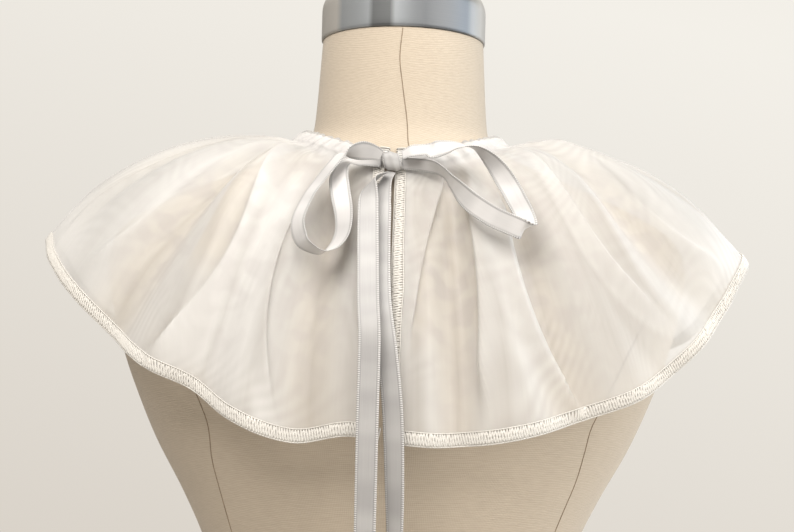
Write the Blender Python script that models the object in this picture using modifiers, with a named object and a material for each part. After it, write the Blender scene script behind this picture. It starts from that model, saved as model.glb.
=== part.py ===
"""Gathered sheer ruff collar, tied at the back with satin ribbon, on a limbless dress form.

The floor is z = 0 and +Z is up. The wearer's back faces -Y and the right hand side is +X.
Angles go round the neck from the middle of the back (0) by the right side (90) to the
front (180) and on to the left side (270). All sizes are in metres, angles in degrees.
"""

import bisect
import math
from collections import namedtuple

import bmesh
import bpy
from mathutils import Vector
from mathutils.bvhtree import BVHTree

SEAM_GAP = 0.0003

# The dress form: rings of a padded linen torso, from its flat base to the top of the neck.
FormRing = namedtuple("FormRing", "height half_width back front squareness")
FORM_RINGS = [FormRing(*row) for row in (
    (0.000, 0.150, 0.108, 0.096, 2.20),
    (0.008, 0.157, 0.113, 0.100, 2.20),
    (0.060, 0.161, 0.116, 0.100, 2.20),
    (0.120, 0.154, 0.110, 0.096, 2.20),
    (0.180, 0.123, 0.089, 0.086, 2.15),
    (0.230, 0.107, 0.077, 0.084, 2.15),
    (0.280, 0.111, 0.080, 0.092, 2.15),
    (0.325, 0.125, 0.088, 0.104, 2.15),
    (0.355, 0.139, 0.095, 0.114, 2.15),
    (0.390, 0.158, 0.101, 0.119, 2.20),
    (0.425, 0.173, 0.104, 0.116, 2.25),
    (0.450, 0.182, 0.103, 0.110, 2.25),
    (0.480, 0.190, 0.100, 0.104, 2.25),
    (0.505, 0.193, 0.095, 0.097, 2.25),
    (0.520, 0.190, 0.090, 0.091, 2.20),
    (0.530, 0.182, 0.086, 0.086, 2.20),
    (0.540, 0.167, 0.082, 0.081, 2.15),
    (0.550, 0.146, 0.078, 0.076, 2.15),
    (0.560, 0.123, 0.074, 0.071, 2.10),
    (0.569, 0.101, 0.0705, 0.067, 2.10),
    (0.576, 0.084, 0.0680, 0.0650, 2.05),
    (0.582, 0.070, 0.0650, 0.0630, 2.00),
    (0.588, 0.0625, 0.0620, 0.0610, 2.00),
    (0.595, 0.0592, 0.0595, 0.0592, 2.00),
    (0.612, 0.0573, 0.0573, 0.0573, 2.00),
    (0.635, 0.0558, 0.0558, 0.0558, 2.00),
    (0.6567, 0.0545, 0.0545, 0.0545, 2.00),
)]
FORM_SIDES = 36
FORM_RING_SPACING = 0.027

# The spun metal cap that closes the neck.
CAP_BASE = 0.657
CAP_RADIUS = 0.0556
CAP_HEIGHT = 0.039
CAP_EDGE_ROUND = 0.016
CAP_CROWN = 0.003
CAP_ROUND_STEPS = 4
CAP_SIDES = 40

# The collar is open at the middle of the back, from the left edge to the right edge.
EDGE_RIGHT = -0.8
EDGE_LEFT = 355.6
EDGE_LEAN = 2.0
EDGE_LEAN_FROM = 334.0
GATHERS = 56
COLUMNS_PER_GATHER = 4

# The casing: a narrow gathered tube round the root of the neck.
CASING_TOP_BACK = 0.5770
CASING_TOP_RISE = 0.0135
CASING_DEPTH = 0.0115
CASING_THICK = 0.0056
CASING_FLAT_END = 0.0026
CASING_FLAT_DEGREES = 22.0
PUCKER = 0.0011
ROOT_DROP = 0.0025

# The hem of the ruffle, all the way round.
HemSection = namedtuple("HemSection", "angle height reach")
HEM_SECTIONS = [HemSection(*row) for row in (
    (0, 0.4045, 1.00),
    (8, 0.4030, 1.00),
    (18, 0.4085, 1.00),
    (28, 0.4190, 1.00),
    (38, 0.4325, 1.00),
    (47, 0.4540, 1.005),
    (57, 0.4830, 1.015),
    (68, 0.5070, 0.99),
    (80, 0.5170, 0.968),
    (90, 0.5110, 0.965),
    (100, 0.4870, 0.960),
    (110, 0.4620, 0.955),
    (120, 0.4480, 0.950),
    (131, 0.4400, 0.970),
    (148, 0.4220, 0.99),
    (165, 0.4030, 1.00),
    (180, 0.3970, 1.00),
    (196, 0.4030, 1.00),
    (213, 0.4220, 0.99),
    (229, 0.4420, 0.970),
    (240, 0.4500, 0.945),
    (250, 0.4630, 0.940),
    (260, 0.4860, 0.960),
    (270, 0.5060, 0.970),
    (280, 0.5140, 0.975),
    (292, 0.5010, 0.99),
    (303, 0.4840, 1.00),
    (314, 0.4590, 1.00),
    (324, 0.4400, 1.00),
    (330, 0.4310, 1.00),
    (337, 0.4150, 1.00),
    (346, 0.4030, 1.00),
    (354, 0.4080, 1.00),
)]
HEM_HALF_WIDTH = 0.2385
HEM_BACK = 0.130
HEM_FRONT = 0.148
HEM_BAND = 0.006
RUFFLE_DEPTH = 0.185
CLOTH_WALL = 0.0010
HEM_WALL = 0.0020

# Folds of the ruffle. A ridge stands out from the cloth, a trough has a negative height.
# Its crest runs through three angles: at the neck, halfway down and at the hem.
Fold = namedtuple("Fold", "neck middle hem before after middle_height hem_height")
FOLDS = [Fold(*row) for row in (
    (4, 3, 4, 6, 5, 0.0020, 0.0030),
    (12, 10, 9, 4, 6, -0.0070, -0.0050),
    (17, 15, 13, 3, 9, 0.0080, 0.0060),
    (27, 23, 27, 5, 7, -0.0045, -0.0060),
    (40, 34, 36, 7, 7, 0.0050, 0.0050),
    (56, 43, 49, 6, 5, 0.0085, 0.0055),
    (66, 52, 57, 6, 6, -0.0055, -0.0010),
    (74, 60, 69, 6, 8, 0.0055, 0.0040),
    (84, 76, 80, 8, 8, -0.0035, -0.0020),
    (94, 92, 92, 9, 9, 0.0030, 0.0025),
    (105, 106, 106, 7, 8, -0.0005, -0.0020),
    (118, 119, 121, 9, 7, 0.0085, 0.0060),
    (131, 134, 134, 6, 8, -0.0030, -0.0065),
    (143, 147, 147, 9, 7, 0.0070, 0.0085),
    (156, 159, 160, 7, 6, -0.0055, -0.0065),
    (167, 170, 171, 7, 8, 0.0065, 0.0075),
    (181, 183, 183, 7, 7, -0.0055, -0.0060),
    (194, 196, 195, 7, 8, 0.0070, 0.0080),
    (207, 209, 208, 7, 7, -0.0050, -0.0070),
    (219, 222, 221, 8, 9, 0.0075, 0.0090),
    (234, 235, 235, 7, 7, -0.0010, -0.0050),
    (246, 247, 249, 8, 8, 0.0075, 0.0045),
    (259, 262, 262, 8, 7, -0.0010, -0.0020),
    (272, 275, 276, 8, 9, 0.0030, 0.0040),
    (288, 288, 289, 7, 7, -0.0035, 0.0020),
    (304, 303, 302, 9, 8, 0.0045, 0.0030),
    (313, 315, 313, 6, 5, -0.0075, -0.0050),
    (313, 326, 324, 7, 5, 0.0090, 0.0080),
    (331, 333, 331, 5, 5, -0.0040, -0.0040),
    (337, 338, 340, 6, 4, 0.0060, 0.0065),
    (345, 346, 348, 4, 5, -0.0050, -0.0030),
    (351, 352, 353, 5, 4, 0.0025, 0.0020),
)]
FOLD_SPREAD = 1.35
SHOULDER_PUFF = 0.0042
PUFF_DOWN = 0.09
ROWS_DOWN = (0.0, 0.08, 0.19, 0.33, 0.48, 0.63, 0.79, 1.0 - HEM_BAND / RUFFLE_DEPTH, 1.0)

# The ribbon: 12 mm satin, pulled through the casing and tied in a bow behind.
RIBBON_WIDTH = 0.012
RIBBON_WALL = 0.0010
KNOT_CENTRE = (-0.0050, 0.5683)
KNOT_SIZE = (0.0120, 0.0085, 0.0118)

# Rows along each ribbon: where its middle lies, how its width leans in the view from behind,
# how far that width turns away from that view, and its width as a share of the whole.
RibbonRow = namedtuple("RibbonRow", "x y z lean turn width")
RIBBONS = {
    "ribbon_loop_left": (
        (-0.0114, -0.0815, 0.5712, 92, 24, 0.54),
        (-0.0160, -0.0850, 0.5725, 92, 26, 0.79),
        (-0.0223, -0.0885, 0.5730, 85, 28, 1.00),
        (-0.0290, -0.0915, 0.5720, 80, 55, 1.00),
        (-0.0348, -0.0930, 0.5700, -29, 64, 1.00),
        (-0.0408, -0.0960, 0.5625, -35, 60, 1.00),
        (-0.0475, -0.0990, 0.5530, -20, 58, 1.00),
        (-0.0535, -0.1040, 0.5430, 12, 45, 1.00),
        (-0.0583, -0.1100, 0.5290, 8, 46, 1.00),
        (-0.0556, -0.1140, 0.5180, 14, 46, 1.00),
        (-0.0490, -0.1160, 0.5125, 43, 64, 1.00),
        (-0.0420, -0.1160, 0.5108, 20, 75, 1.00),
        (-0.0360, -0.1130, 0.5150, -25, 62, 1.00),
        (-0.0322, -0.1090, 0.5230, -5, 43, 1.00),
        (-0.0321, -0.1050, 0.5342, 12, 25, 1.00),
        (-0.0348, -0.0990, 0.5476, 11, 8, 1.00),
        (-0.0360, -0.0930, 0.5580, 16, 20, 1.00),
        (-0.0325, -0.0860, 0.5655, -40, 60, 0.88),
        (-0.0240, -0.0795, 0.5680, -80, 40, 0.71),
        (-0.0160, -0.0762, 0.5685, -90, 10, 0.58),
        (-0.0114, -0.0752, 0.5680, -90, 4, 0.54),
    ),
    "ribbon_loop_right": (
        (0.0014, -0.0812, 0.5720, -88, 24, 0.54),
        (0.0073, -0.0835, 0.5744, -88, 34, 0.75),
        (0.0158, -0.0830, 0.5755, -77, 48, 0.96),
        (0.0211, -0.0850, 0.5755, -87, 26, 1.00),
        (0.0287, -0.0880, 0.5765, -88, 45, 1.00),
        (0.0360, -0.0910, 0.5770, -100, 70, 1.00),
        (0.0430, -0.0930, 0.5760, -30, 84, 1.00),
        (0.0490, -0.0950, 0.5725, 28, 69, 1.00),
        (0.0564, -0.0980, 0.5650, 28, 43, 1.00),
        (0.0640, -0.1010, 0.5540, 19, 12, 1.00),
        (0.0691, -0.1040, 0.5446, 13, 6, 1.00),
        (0.0730, -0.1060, 0.5369, 8, 4, 1.00),
        (0.0748, -0.1095, 0.5300, 20, 4, 1.00),
        (0.0725, -0.1140, 0.5270, 44, 4, 1.00),
        (0.0660, -0.1150, 0.5290, 56, 4, 1.00),
        (0.0543, -0.1140, 0.5340, 64, 6, 1.00),
        (0.0433, -0.1100, 0.5412, 72, 12, 1.00),
        (0.0374, -0.1060, 0.5467, 74, 24, 1.00),
        (0.0308, -0.1000, 0.5545, 83, 55, 1.00),
        (0.0262, -0.0950, 0.5605, 95, 64, 0.92),
        (0.0205, -0.0880, 0.5645, 92, 50, 0.79),
        (0.0120, -0.0790, 0.5665, 90, 20, 0.62),
        (0.0014, -0.0752, 0.5672, 90, 6, 0.54),
    ),
    "ribbon_tail_left": (
        (-0.0080, -0.0805, 0.5607, 24, 16, 0.50),
        (-0.0122, -0.0838, 0.5580, 44, 36, 0.71),
        (-0.0172, -0.0880, 0.5540, 40, 40, 0.88),
        (-0.0181, -0.0960, 0.5450, 16, 14, 1.00),
        (-0.0177, -0.1060, 0.5304, 2, 10, 1.00),
        (-0.0170, -0.1150, 0.5132, 2, 8, 1.00),
        (-0.0157, -0.1270, 0.4839, 2, 8, 1.00),
        (-0.0142, -0.1340, 0.4616, 2, 8, 1.00),
        (-0.0140, -0.1390, 0.4198, 2, 10, 1.00),
        (-0.0138, -0.1400, 0.3800, 2, 14, 1.00),
        (-0.0136, -0.1400, 0.3400, 2, 18, 1.00),
        (-0.0134, -0.1395, 0.2900, 2, 12, 1.00),
        (-0.0133, -0.1390, 0.2350, 2, 4, 1.00),
    ),
    "ribbon_tail_right": (
        (-0.0052, -0.0770, 0.5619, 2, 16, 0.50),
        (-0.0080, -0.0800, 0.5560, 2, 30, 0.67),
        (-0.0100, -0.0865, 0.5470, 2, 18, 0.88),
        (-0.0106, -0.0930, 0.5380, 2, 8, 1.00),
        (-0.0104, -0.1040, 0.5150, 2, 6, 1.00),
        (-0.0090, -0.1200, 0.4841, 2, 6, 1.00),
        (-0.0045, -0.1290, 0.4562, 2, 20, 1.00),
        (-0.0010, -0.1340, 0.4304, 2, 24, 1.00),
        (0.0007, -0.1360, 0.4090, 2, 26, 1.00),
        (0.0020, -0.1365, 0.3800, 2, 34, 1.00),
        (0.0033, -0.1365, 0.3400, 2, 48, 1.00),
        (0.0040, -0.1365, 0.2950, 2, 30, 1.00),
        (0.0045, -0.1360, 0.2480, 2, 10, 1.00),
    ),
}
RIBBON_SECTIONS = {"ribbon_loop_left": 62, "ribbon_loop_right": 72,
                   "ribbon_tail_left": 26, "ribbon_tail_right": 26}
RIBBON_CLEAR = {"ribbon_loop_left": 0.0016, "ribbon_loop_right": 0.0016,
                "ribbon_tail_left": 0.0040, "ribbon_tail_right": 0.0014}
TAIL_SLANT = 0.0045


def clear_scene():
    """Empty the file, so that it holds the part alone."""
    for thing in list(bpy.data.objects):
        bpy.data.objects.remove(thing, do_unlink=True)


def material(name, colour, roughness, metallic=0.0):
    """One plain finish."""
    finish = bpy.data.materials.new(name)
    finish.use_nodes = True
    shader = finish.node_tree.nodes["Principled BSDF"]
    shader.inputs["Base Color"].default_value = (*colour, 1.0)
    shader.inputs["Roughness"].default_value = roughness
    shader.inputs["Metallic"].default_value = metallic
    return finish


def add_object(name, mesh, finish, smooth_below=40.0):
    """Put a mesh in the part's collection, shaded smooth below the given angle."""
    mesh.materials.append(finish)
    mesh.shade_smooth()
    mesh.set_sharp_from_angle(angle=math.radians(smooth_below))
    thing = bpy.data.objects.new(name, mesh)
    COLLECTION.objects.link(thing)
    return thing


def mesh_from(name, points, faces):
    """A mesh with its faces turned outwards."""
    mesh = bpy.data.meshes.new(name)
    mesh.from_pydata([tuple(p) for p in points], [], faces)
    shape = bmesh.new()
    shape.from_mesh(mesh)
    bmesh.ops.recalc_face_normals(shape, faces=shape.faces)
    shape.to_mesh(mesh)
    shape.free()
    return mesh


def loft(name, rings):
    """A closed solid through rings of equal count, with a flat face at each end."""
    count = len(rings[0])
    points = [p for ring in rings for p in ring]
    faces = []
    for i in range(len(rings) - 1):
        for j in range(count):
            k = (j + 1) % count
            faces.append((i * count + j, i * count + k, (i + 1) * count + k, (i + 1) * count + j))
    faces.append(tuple(range(count)))
    faces.append(tuple(range(len(points) - count, len(points))))
    return mesh_from(name, points, faces)


def smooth(t):
    """Ease from 0 to 1 over the unit interval."""
    t = max(0.0, min(1.0, t))
    return t * t * (3.0 - 2.0 * t)


def spline(rows, at, columns):
    """Values of a table at one place along its first column, on a smooth curve."""
    keys = [row[0] for row in rows]
    i = max(0, min(len(rows) - 2, bisect.bisect_right(keys, at) - 1))
    before, low, high, after = (rows[max(0, min(len(rows) - 1, i + k))] for k in (-1, 0, 1, 2))
    span = high[0] - low[0]
    t = max(0.0, min(1.0, (at - low[0]) / span))
    values = []
    for c in columns:
        rise_low = (high[c] - before[c]) / (high[0] - before[0]) * span
        rise_high = (after[c] - low[c]) / (after[0] - low[0]) * span
        values.append((2 * t**3 - 3 * t**2 + 1) * low[c] + (t**3 - 2 * t**2 + t) * rise_low
                      + (3 * t**2 - 2 * t**3) * high[c] + (t**3 - t**2) * rise_high)
    return values


def form_point(row, angle):
    """A point of one ring of the dress form."""
    side, ahead = math.sin(math.radians(angle)), -math.cos(math.radians(angle))
    depth = row.front if ahead > 0 else row.back
    power = 2.0 / row.squareness
    return Vector((row.half_width * math.copysign(abs(side) ** power, side),
                   depth * math.copysign(abs(ahead) ** power, ahead), row.height))


def form_surface(height, angle):
    """A point of the dress form at any height."""
    heights = [row.height for row in FORM_RINGS]
    i = max(0, min(len(heights) - 2, bisect.bisect_right(heights, height) - 1))
    t = (height - heights[i]) / (heights[i + 1] - heights[i])
    return form_point(FORM_RINGS[i], angle).lerp(form_point(FORM_RINGS[i + 1], angle), t)


def back_turn(angle):
    """The angle measured from the middle of the back, either way round, from 0 to 180."""
    return abs((angle + 180.0) % 360.0 - 180.0)


def side_share(angle):
    """0 at the back and front, 1 at the two shoulders."""
    return math.sin(math.radians(angle)) ** 2


def gather_wave(angle):
    """The even run of gathers from one edge of the opening to the other, from -1 to 1."""
    place = (angle - EDGE_RIGHT) / (EDGE_LEFT - EDGE_RIGHT)
    flat_end = smooth((back_turn(angle) - 8.0) / (CASING_FLAT_DEGREES - 8.0))
    uneven = 0.75 + 0.25 * math.sin(math.radians(5.0 * angle + 40.0))
    return flat_end * uneven * math.cos(2.0 * math.pi * GATHERS * place)


def casing_frame(angle):
    """Where the casing lies on the form: its upper inner corner, outward and down the form."""
    top = CASING_TOP_BACK + CASING_TOP_RISE * side_share(angle)
    high = form_surface(top, angle)
    low = form_surface(top - 0.55 * CASING_DEPTH, angle)
    down = (low - high).normalized()
    round_neck = Vector((math.cos(math.radians(angle)), math.sin(math.radians(angle)), 0.0))
    outward = down.cross(round_neck).normalized()
    if outward.z < 0.0:
        outward.negate()
    return high, outward, down


def casing_thickness(angle):
    """The casing is flat at its two open ends and full where it is gathered."""
    share = smooth((back_turn(angle) - 10.0) / CASING_FLAT_DEGREES)
    return CASING_FLAT_END + (CASING_THICK - CASING_FLAT_END) * share


def casing_ring(angle):
    """Six corners round the casing at one angle."""
    high, outward, down = casing_frame(angle)
    thick = casing_thickness(angle)
    pucker = PUCKER * gather_wave(angle)
    profile = ((0.0, 0.10), (0.45, 0.0), (1.0, 0.18), (1.0, 0.80), (0.55, 1.0), (0.0, 0.92))
    ring = []
    for out, along in profile:
        lift = SEAM_GAP * 1.6 + out * (thick + pucker)
        slide = along * CASING_DEPTH + (0.6 * pucker if along in (0.0, 1.0) else 0.0)
        ring.append(high + outward * lift + down * slide)
    return ring


def ruffle_root(angle):
    """The top edge of the ruffle, just below the outer lower edge of the casing."""
    high, outward, down = casing_frame(angle)
    thick = casing_thickness(angle)
    return high + outward * (SEAM_GAP + 0.50 * thick) + down * (CASING_DEPTH + ROOT_DROP)


def hem_point(angle):
    """The hem before the folds are added."""
    turn = angle % 360.0
    rows = [row._replace(angle=row.angle - 360) for row in HEM_SECTIONS[-2:]] + HEM_SECTIONS
    rows += [row._replace(angle=row.angle + 360) for row in HEM_SECTIONS[:2]]
    height, reach = spline(rows, turn, (1, 2))
    side, ahead = math.sin(math.radians(turn)), -math.cos(math.radians(turn))
    depth = HEM_FRONT if ahead > 0 else HEM_BACK
    return Vector((HEM_HALF_WIDTH * side * reach, depth * ahead * reach, height))


def drape(angle, down):
    """The ruffle without its folds: an arch from the casing to the hem."""
    root, hem = ruffle_root(angle), hem_point(angle)
    shoulder = side_share(angle)
    flat = Vector((hem.x - root.x, hem.y - root.y, 0.0))
    out = flat.normalized()
    spread = smooth(back_turn(angle) / 40.0)
    leave = root + out * (0.28 * flat.length - 0.004 + 0.016 * spread)
    leave.z += -0.026 + 0.016 * spread + 0.025 * shoulder
    arrive = hem - out * ((0.17 + 0.10 * shoulder) * flat.length - 0.004)
    arrive.z += 0.075 - 0.017 * shoulder
    t, s = down, 1.0 - down
    return root * s**3 + leave * (3 * t * s * s) + arrive * (3 * t * t * s) + hem * t**3


def fold_height(angle, down):
    """How far the folds lift the cloth at one place."""
    total = 0.0
    for fold in FOLDS:
        crest = (fold.neck * (1 - down) * (1 - 2 * down) + fold.middle * 4 * down * (1 - down)
                 + fold.hem * down * (2 * down - 1))
        offset = (angle - crest + 180.0) % 360.0 - 180.0
        reach = FOLD_SPREAD * (fold.before if offset < 0 else fold.after)
        if abs(offset) >= reach:
            continue
        height = fold.middle_height * smooth(2.0 * down)
        height += (fold.hem_height - fold.middle_height) * smooth(2.0 * down - 1.0)
        total += height * (0.5 + 0.5 * math.cos(math.pi * offset / reach))
    return total


def leaned(angle, down):
    """The left panel hangs a little towards the right one, the more the further down."""
    near = smooth((angle - EDGE_LEAN_FROM) / (EDGE_LEFT - EDGE_LEAN_FROM))
    return angle + EDGE_LEAN * max(0.0, down) * near


def shoulder_puff(angle, down):
    """How far the gathers puff the cloth up over the shoulders."""
    share = down / PUFF_DOWN
    return SHOULDER_PUFF * side_share(angle) * share * math.exp(1.0 - share)


def ruffle_point(angle, down):
    """A point in the middle of the ruffle's wall."""
    step = 0.4
    angle = leaned(angle, down)
    here = drape(angle, down)
    along = drape(angle + step, down) - drape(angle - step, down)
    below = drape(angle, min(1.0, down + 0.02)) - drape(angle, max(0.0, down - 0.02))
    outward = along.cross(below).normalized()
    if outward.dot(Vector((here.x, here.y, 0.02))) < 0.0:
        outward.negate()
    gathers = 0.0014 * gather_wave(angle) * math.exp(-down / 0.11)
    lift = fold_height(angle, down) + gathers + shoulder_puff(angle, down)
    return here + outward * lift


def column_angles():
    """The angles of the grid, a few to each gather."""
    count = GATHERS * COLUMNS_PER_GATHER
    return [EDGE_RIGHT + (EDGE_LEFT - EDGE_RIGHT) * i / count for i in range(count + 1)]


def ruffle_grid():
    """Points and faces of the ruffle as an open surface."""
    angles = column_angles()
    rows = len(ROWS_DOWN)
    points = [ruffle_point(angle, down) for angle in angles for down in ROWS_DOWN]
    faces = []
    for i in range(len(angles) - 1):
        for j in range(rows - 1):
            a = i * rows + j
            faces.append((a, a + 1, a + rows + 1, a + rows))
    return points, faces


def make_form(linen):
    """The dress form, a padded torso with a neck and no limbs."""
    heights = []
    for low, high in zip(FORM_RINGS, FORM_RINGS[1:]):
        parts = 1 + int((high.height - low.height) / FORM_RING_SPACING)
        heights += [low.height + (high.height - low.height) * i / parts for i in range(parts)]
    heights.append(FORM_RINGS[-1].height)
    rings = []
    for height in heights:
        row = FormRing(height, *spline(FORM_RINGS, height, (1, 2, 3, 4)))
        rings.append([form_point(row, 360.0 * i / FORM_SIDES) for i in range(FORM_SIDES)])
    add_object("form_body", loft("form_body", rings), linen, 50.0)


def make_cap(steel):
    """The turned metal cap on the neck, with a rounded upper edge."""
    top = CAP_BASE + CAP_HEIGHT
    flat = CAP_RADIUS - CAP_EDGE_ROUND
    profile = [(0.0, top), (0.55 * flat, top - 0.25 * CAP_CROWN), (flat, top - CAP_CROWN)]
    for i in range(1, CAP_ROUND_STEPS + 1):
        turn = math.radians(90.0 * i / CAP_ROUND_STEPS)
        drop = CAP_EDGE_ROUND * (1 - math.cos(turn))
        profile.append((flat + CAP_EDGE_ROUND * math.sin(turn), top - CAP_CROWN - drop))
    profile += [(CAP_RADIUS, CAP_BASE + 0.002), (CAP_RADIUS - 0.0006, CAP_BASE), (0.0, CAP_BASE)]
    mesh = bpy.data.meshes.new("neck_cap")
    edges = [(i, i + 1) for i in range(len(profile) - 1)]
    mesh.from_pydata([(radius, 0.0, height) for radius, height in profile], edges, [])
    cap = add_object("neck_cap", mesh, steel, 40.0)
    turned = cap.modifiers.new("turned", "SCREW")
    turned.axis = "Z"
    turned.steps = CAP_SIDES
    turned.render_steps = CAP_SIDES
    turned.use_merge_vertices = True
    turned.merge_threshold = 0.00001
    turned.use_smooth_shade = True


def make_casing(cloth):
    """The gathered casing round the neck, open at the middle of the back."""
    rings = [casing_ring(angle) for angle in column_angles()]
    add_object("neck_casing", loft("neck_casing", rings), cloth, 75.0)


def make_ruffle(cloth):
    """The ruffle: one sheer strip, a thin wall that thickens at its overlocked hem."""
    points, faces = ruffle_grid()
    mesh = bpy.data.meshes.new("ruffle")
    mesh.from_pydata([tuple(p) for p in points], [], faces)
    ruffle = add_object("ruffle", mesh, cloth, 80.0)
    wall = ruffle.vertex_groups.new(name="wall")
    rows = len(ROWS_DOWN)
    for i in range(len(points)):
        at_hem = i % rows == rows - 1
        wall.add([i], 1.0 if at_hem else CLOTH_WALL / HEM_WALL, "REPLACE")
    shell = ruffle.modifiers.new("wall", "SOLIDIFY")
    shell.thickness = HEM_WALL
    shell.offset = 0.0
    shell.vertex_group = "wall"
    shell.use_rim = True


def make_knot(satin):
    """The knot of the bow, a rounded wrap of ribbon in front of the casing's ends."""
    high, outward, down = casing_frame(0.0)
    face = (high + outward * (SEAM_GAP * 2 + casing_thickness(0.0))
            + down * 0.5 * CASING_DEPTH)
    width, depth, tall = KNOT_SIZE
    centre = Vector((KNOT_CENTRE[0], face.y - SEAM_GAP - 0.5 * depth - 0.0012, KNOT_CENTRE[1]))
    shape = bmesh.new()
    bmesh.ops.create_uvsphere(shape, u_segments=16, v_segments=10, radius=0.5)
    for vert in shape.verts:
        for axis, size in enumerate((width, depth, tall)):
            value = 2.0 * vert.co[axis]
            vert.co[axis] = 0.5 * size * math.copysign(abs(value) ** 0.62, value)
    pinch = 0.12
    for vert in shape.verts:
        waist = 1.0 - pinch * math.cos(math.pi * vert.co.z / tall)
        vert.co.x *= waist
        vert.co += centre
    mesh = bpy.data.meshes.new("ribbon_knot")
    shape.to_mesh(mesh)
    shape.free()
    add_object("ribbon_knot", mesh, satin, 60.0)


def ribbon_row(rows, at):
    """One place along a ribbon: its middle, the direction of its width and its width."""
    keyed = []
    for i, row in enumerate(rows):
        lean, turn = math.radians(row.lean), math.radians(row.turn)
        across = (math.cos(turn) * math.cos(lean), -math.sin(turn), math.cos(turn) * math.sin(lean))
        keyed.append((i, row.x, row.y, row.z, *across, row.width))
    x, y, z, *across, width = spline(keyed, at, (1, 2, 3, 4, 5, 6, 7))
    return Vector((x, y, z)), Vector(across).normalized(), width * RIBBON_WIDTH


def even_places(rows, count):
    """Places along a ribbon's rows that lie at equal distances along it."""
    fine = [(len(rows) - 1) * i / 600 for i in range(601)]
    middles = [ribbon_row(rows, at)[0] for at in fine]
    run = [0.0]
    for low, high in zip(middles, middles[1:]):
        run.append(run[-1] + (high - low).length)
    places = []
    for i in range(count + 1):
        goal = run[-1] * i / count
        k = max(1, min(600, bisect.bisect_left(run, goal)))
        share = (goal - run[k - 1]) / max(1e-9, run[k] - run[k - 1])
        places.append(fine[k - 1] + share * (fine[k] - fine[k - 1]))
    return places


def clear_of_cloth(cloth, middles, sides, widths, clearance):
    """Move a ribbon's middle line back, just far enough to clear the ruffle it lies on."""
    shifts = []
    for middle, side, width in zip(middles, sides, widths):
        need = 0.0
        for share in (-1.0, -0.5, 0.0, 0.5, 1.0):
            point = middle + side * (0.5 * width * share)
            hit = cloth.ray_cast(Vector((point.x, -1.0, point.z)), Vector((0.0, 1.0, 0.0)), 2.0)[0]
            if hit is not None and hit.y > point.y - 0.05:
                need = max(need, point.y - (hit.y - clearance))
        shifts.append(need)
    eased = []
    for i in range(len(shifts)):
        near = shifts[max(0, i - 2):i + 3]
        eased.append(max(near))
    return [sum(eased[max(0, i - 2):i + 3]) / len(eased[max(0, i - 2):i + 3])
            for i in range(len(eased))]


def make_ribbon(name, cloth, satin):
    """One flat ribbon, from its rows of the table."""
    rows = [RibbonRow(*row) for row in RIBBONS[name]]
    places = even_places(rows, RIBBON_SECTIONS[name])
    middles, sides, widths = zip(*(ribbon_row(rows, at) for at in places))
    shifts = clear_of_cloth(cloth, middles, sides, widths, RIBBON_CLEAR[name])
    middles = [m + Vector((0.0, -shift, 0.0)) for m, shift in zip(middles, shifts)]
    points = []
    for i, (middle, side, width) in enumerate(zip(middles, sides, widths)):
        ahead = (middles[min(i + 1, len(middles) - 1)] - middles[max(i - 1, 0)]).normalized()
        across = (side - ahead * side.dot(ahead)).normalized() * (0.5 * width)
        slant = ahead * (TAIL_SLANT if "tail" in name and i == len(middles) - 1 else 0.0)
        points += [middle + across + slant, middle - across - slant]
    faces = []
    for i in range(0, len(points) - 2, 2):
        faces += [(i, i + 1, i + 3), (i, i + 3, i + 2)]
    mesh = bpy.data.meshes.new(name)
    mesh.from_pydata([tuple(p) for p in points], [], faces)
    ribbon = add_object(name, mesh, satin, 60.0)
    shell = ribbon.modifiers.new("wall", "SOLIDIFY")
    shell.thickness = RIBBON_WALL
    shell.offset = 0.0


def main():
    """Build the whole part."""
    linen = material("linen", (0.70, 0.60, 0.47), 0.85)
    steel = material("brushed_steel", (0.55, 0.60, 0.66), 0.35, 1.0)
    organza = material("organza", (0.92, 0.89, 0.85), 0.6)
    satin = material("satin", (0.88, 0.88, 0.92), 0.3)
    make_form(linen)
    make_cap(steel)
    make_casing(organza)
    make_ruffle(organza)
    points, faces = ruffle_grid()
    cloth = BVHTree.FromPolygons([tuple(p) for p in points], faces)
    make_knot(satin)
    for name in RIBBONS:
        make_ribbon(name, cloth, satin)


clear_scene()
COLLECTION = bpy.data.collections.new("ruff_collar")
bpy.context.scene.collection.children.link(COLLECTION)
main()
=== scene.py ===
"""Looks of the gathered sheer ruff collar, tied behind with satin ribbon, on its dress form.

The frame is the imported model's own, in metres: the floor is z = 0, the wearer's back faces -Y.
Angles go round the neck from the middle of the back (0) by the right side (90) to the
front (180) and on to the left side (270).
"""

import bisect
import functools
import math
import random
from collections import namedtuple

import bmesh
import bpy
from mathutils import Matrix, Vector
from mathutils.bvhtree import BVHTree


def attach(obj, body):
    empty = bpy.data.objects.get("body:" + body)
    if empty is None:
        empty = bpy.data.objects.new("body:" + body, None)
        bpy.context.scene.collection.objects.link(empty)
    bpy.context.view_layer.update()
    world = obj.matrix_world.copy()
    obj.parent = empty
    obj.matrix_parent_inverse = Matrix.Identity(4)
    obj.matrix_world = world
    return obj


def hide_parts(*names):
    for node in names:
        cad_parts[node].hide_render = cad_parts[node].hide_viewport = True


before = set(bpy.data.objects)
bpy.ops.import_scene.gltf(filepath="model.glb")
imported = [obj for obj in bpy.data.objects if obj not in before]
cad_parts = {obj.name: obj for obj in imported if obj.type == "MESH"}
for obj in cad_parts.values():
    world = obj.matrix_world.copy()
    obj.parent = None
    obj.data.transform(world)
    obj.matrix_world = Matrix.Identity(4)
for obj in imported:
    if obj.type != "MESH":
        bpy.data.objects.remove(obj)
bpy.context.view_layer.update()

TURN = 2.0 * math.pi

# The gap between pieces that lie on each other.
SEAM_GAP = 0.0003

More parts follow.
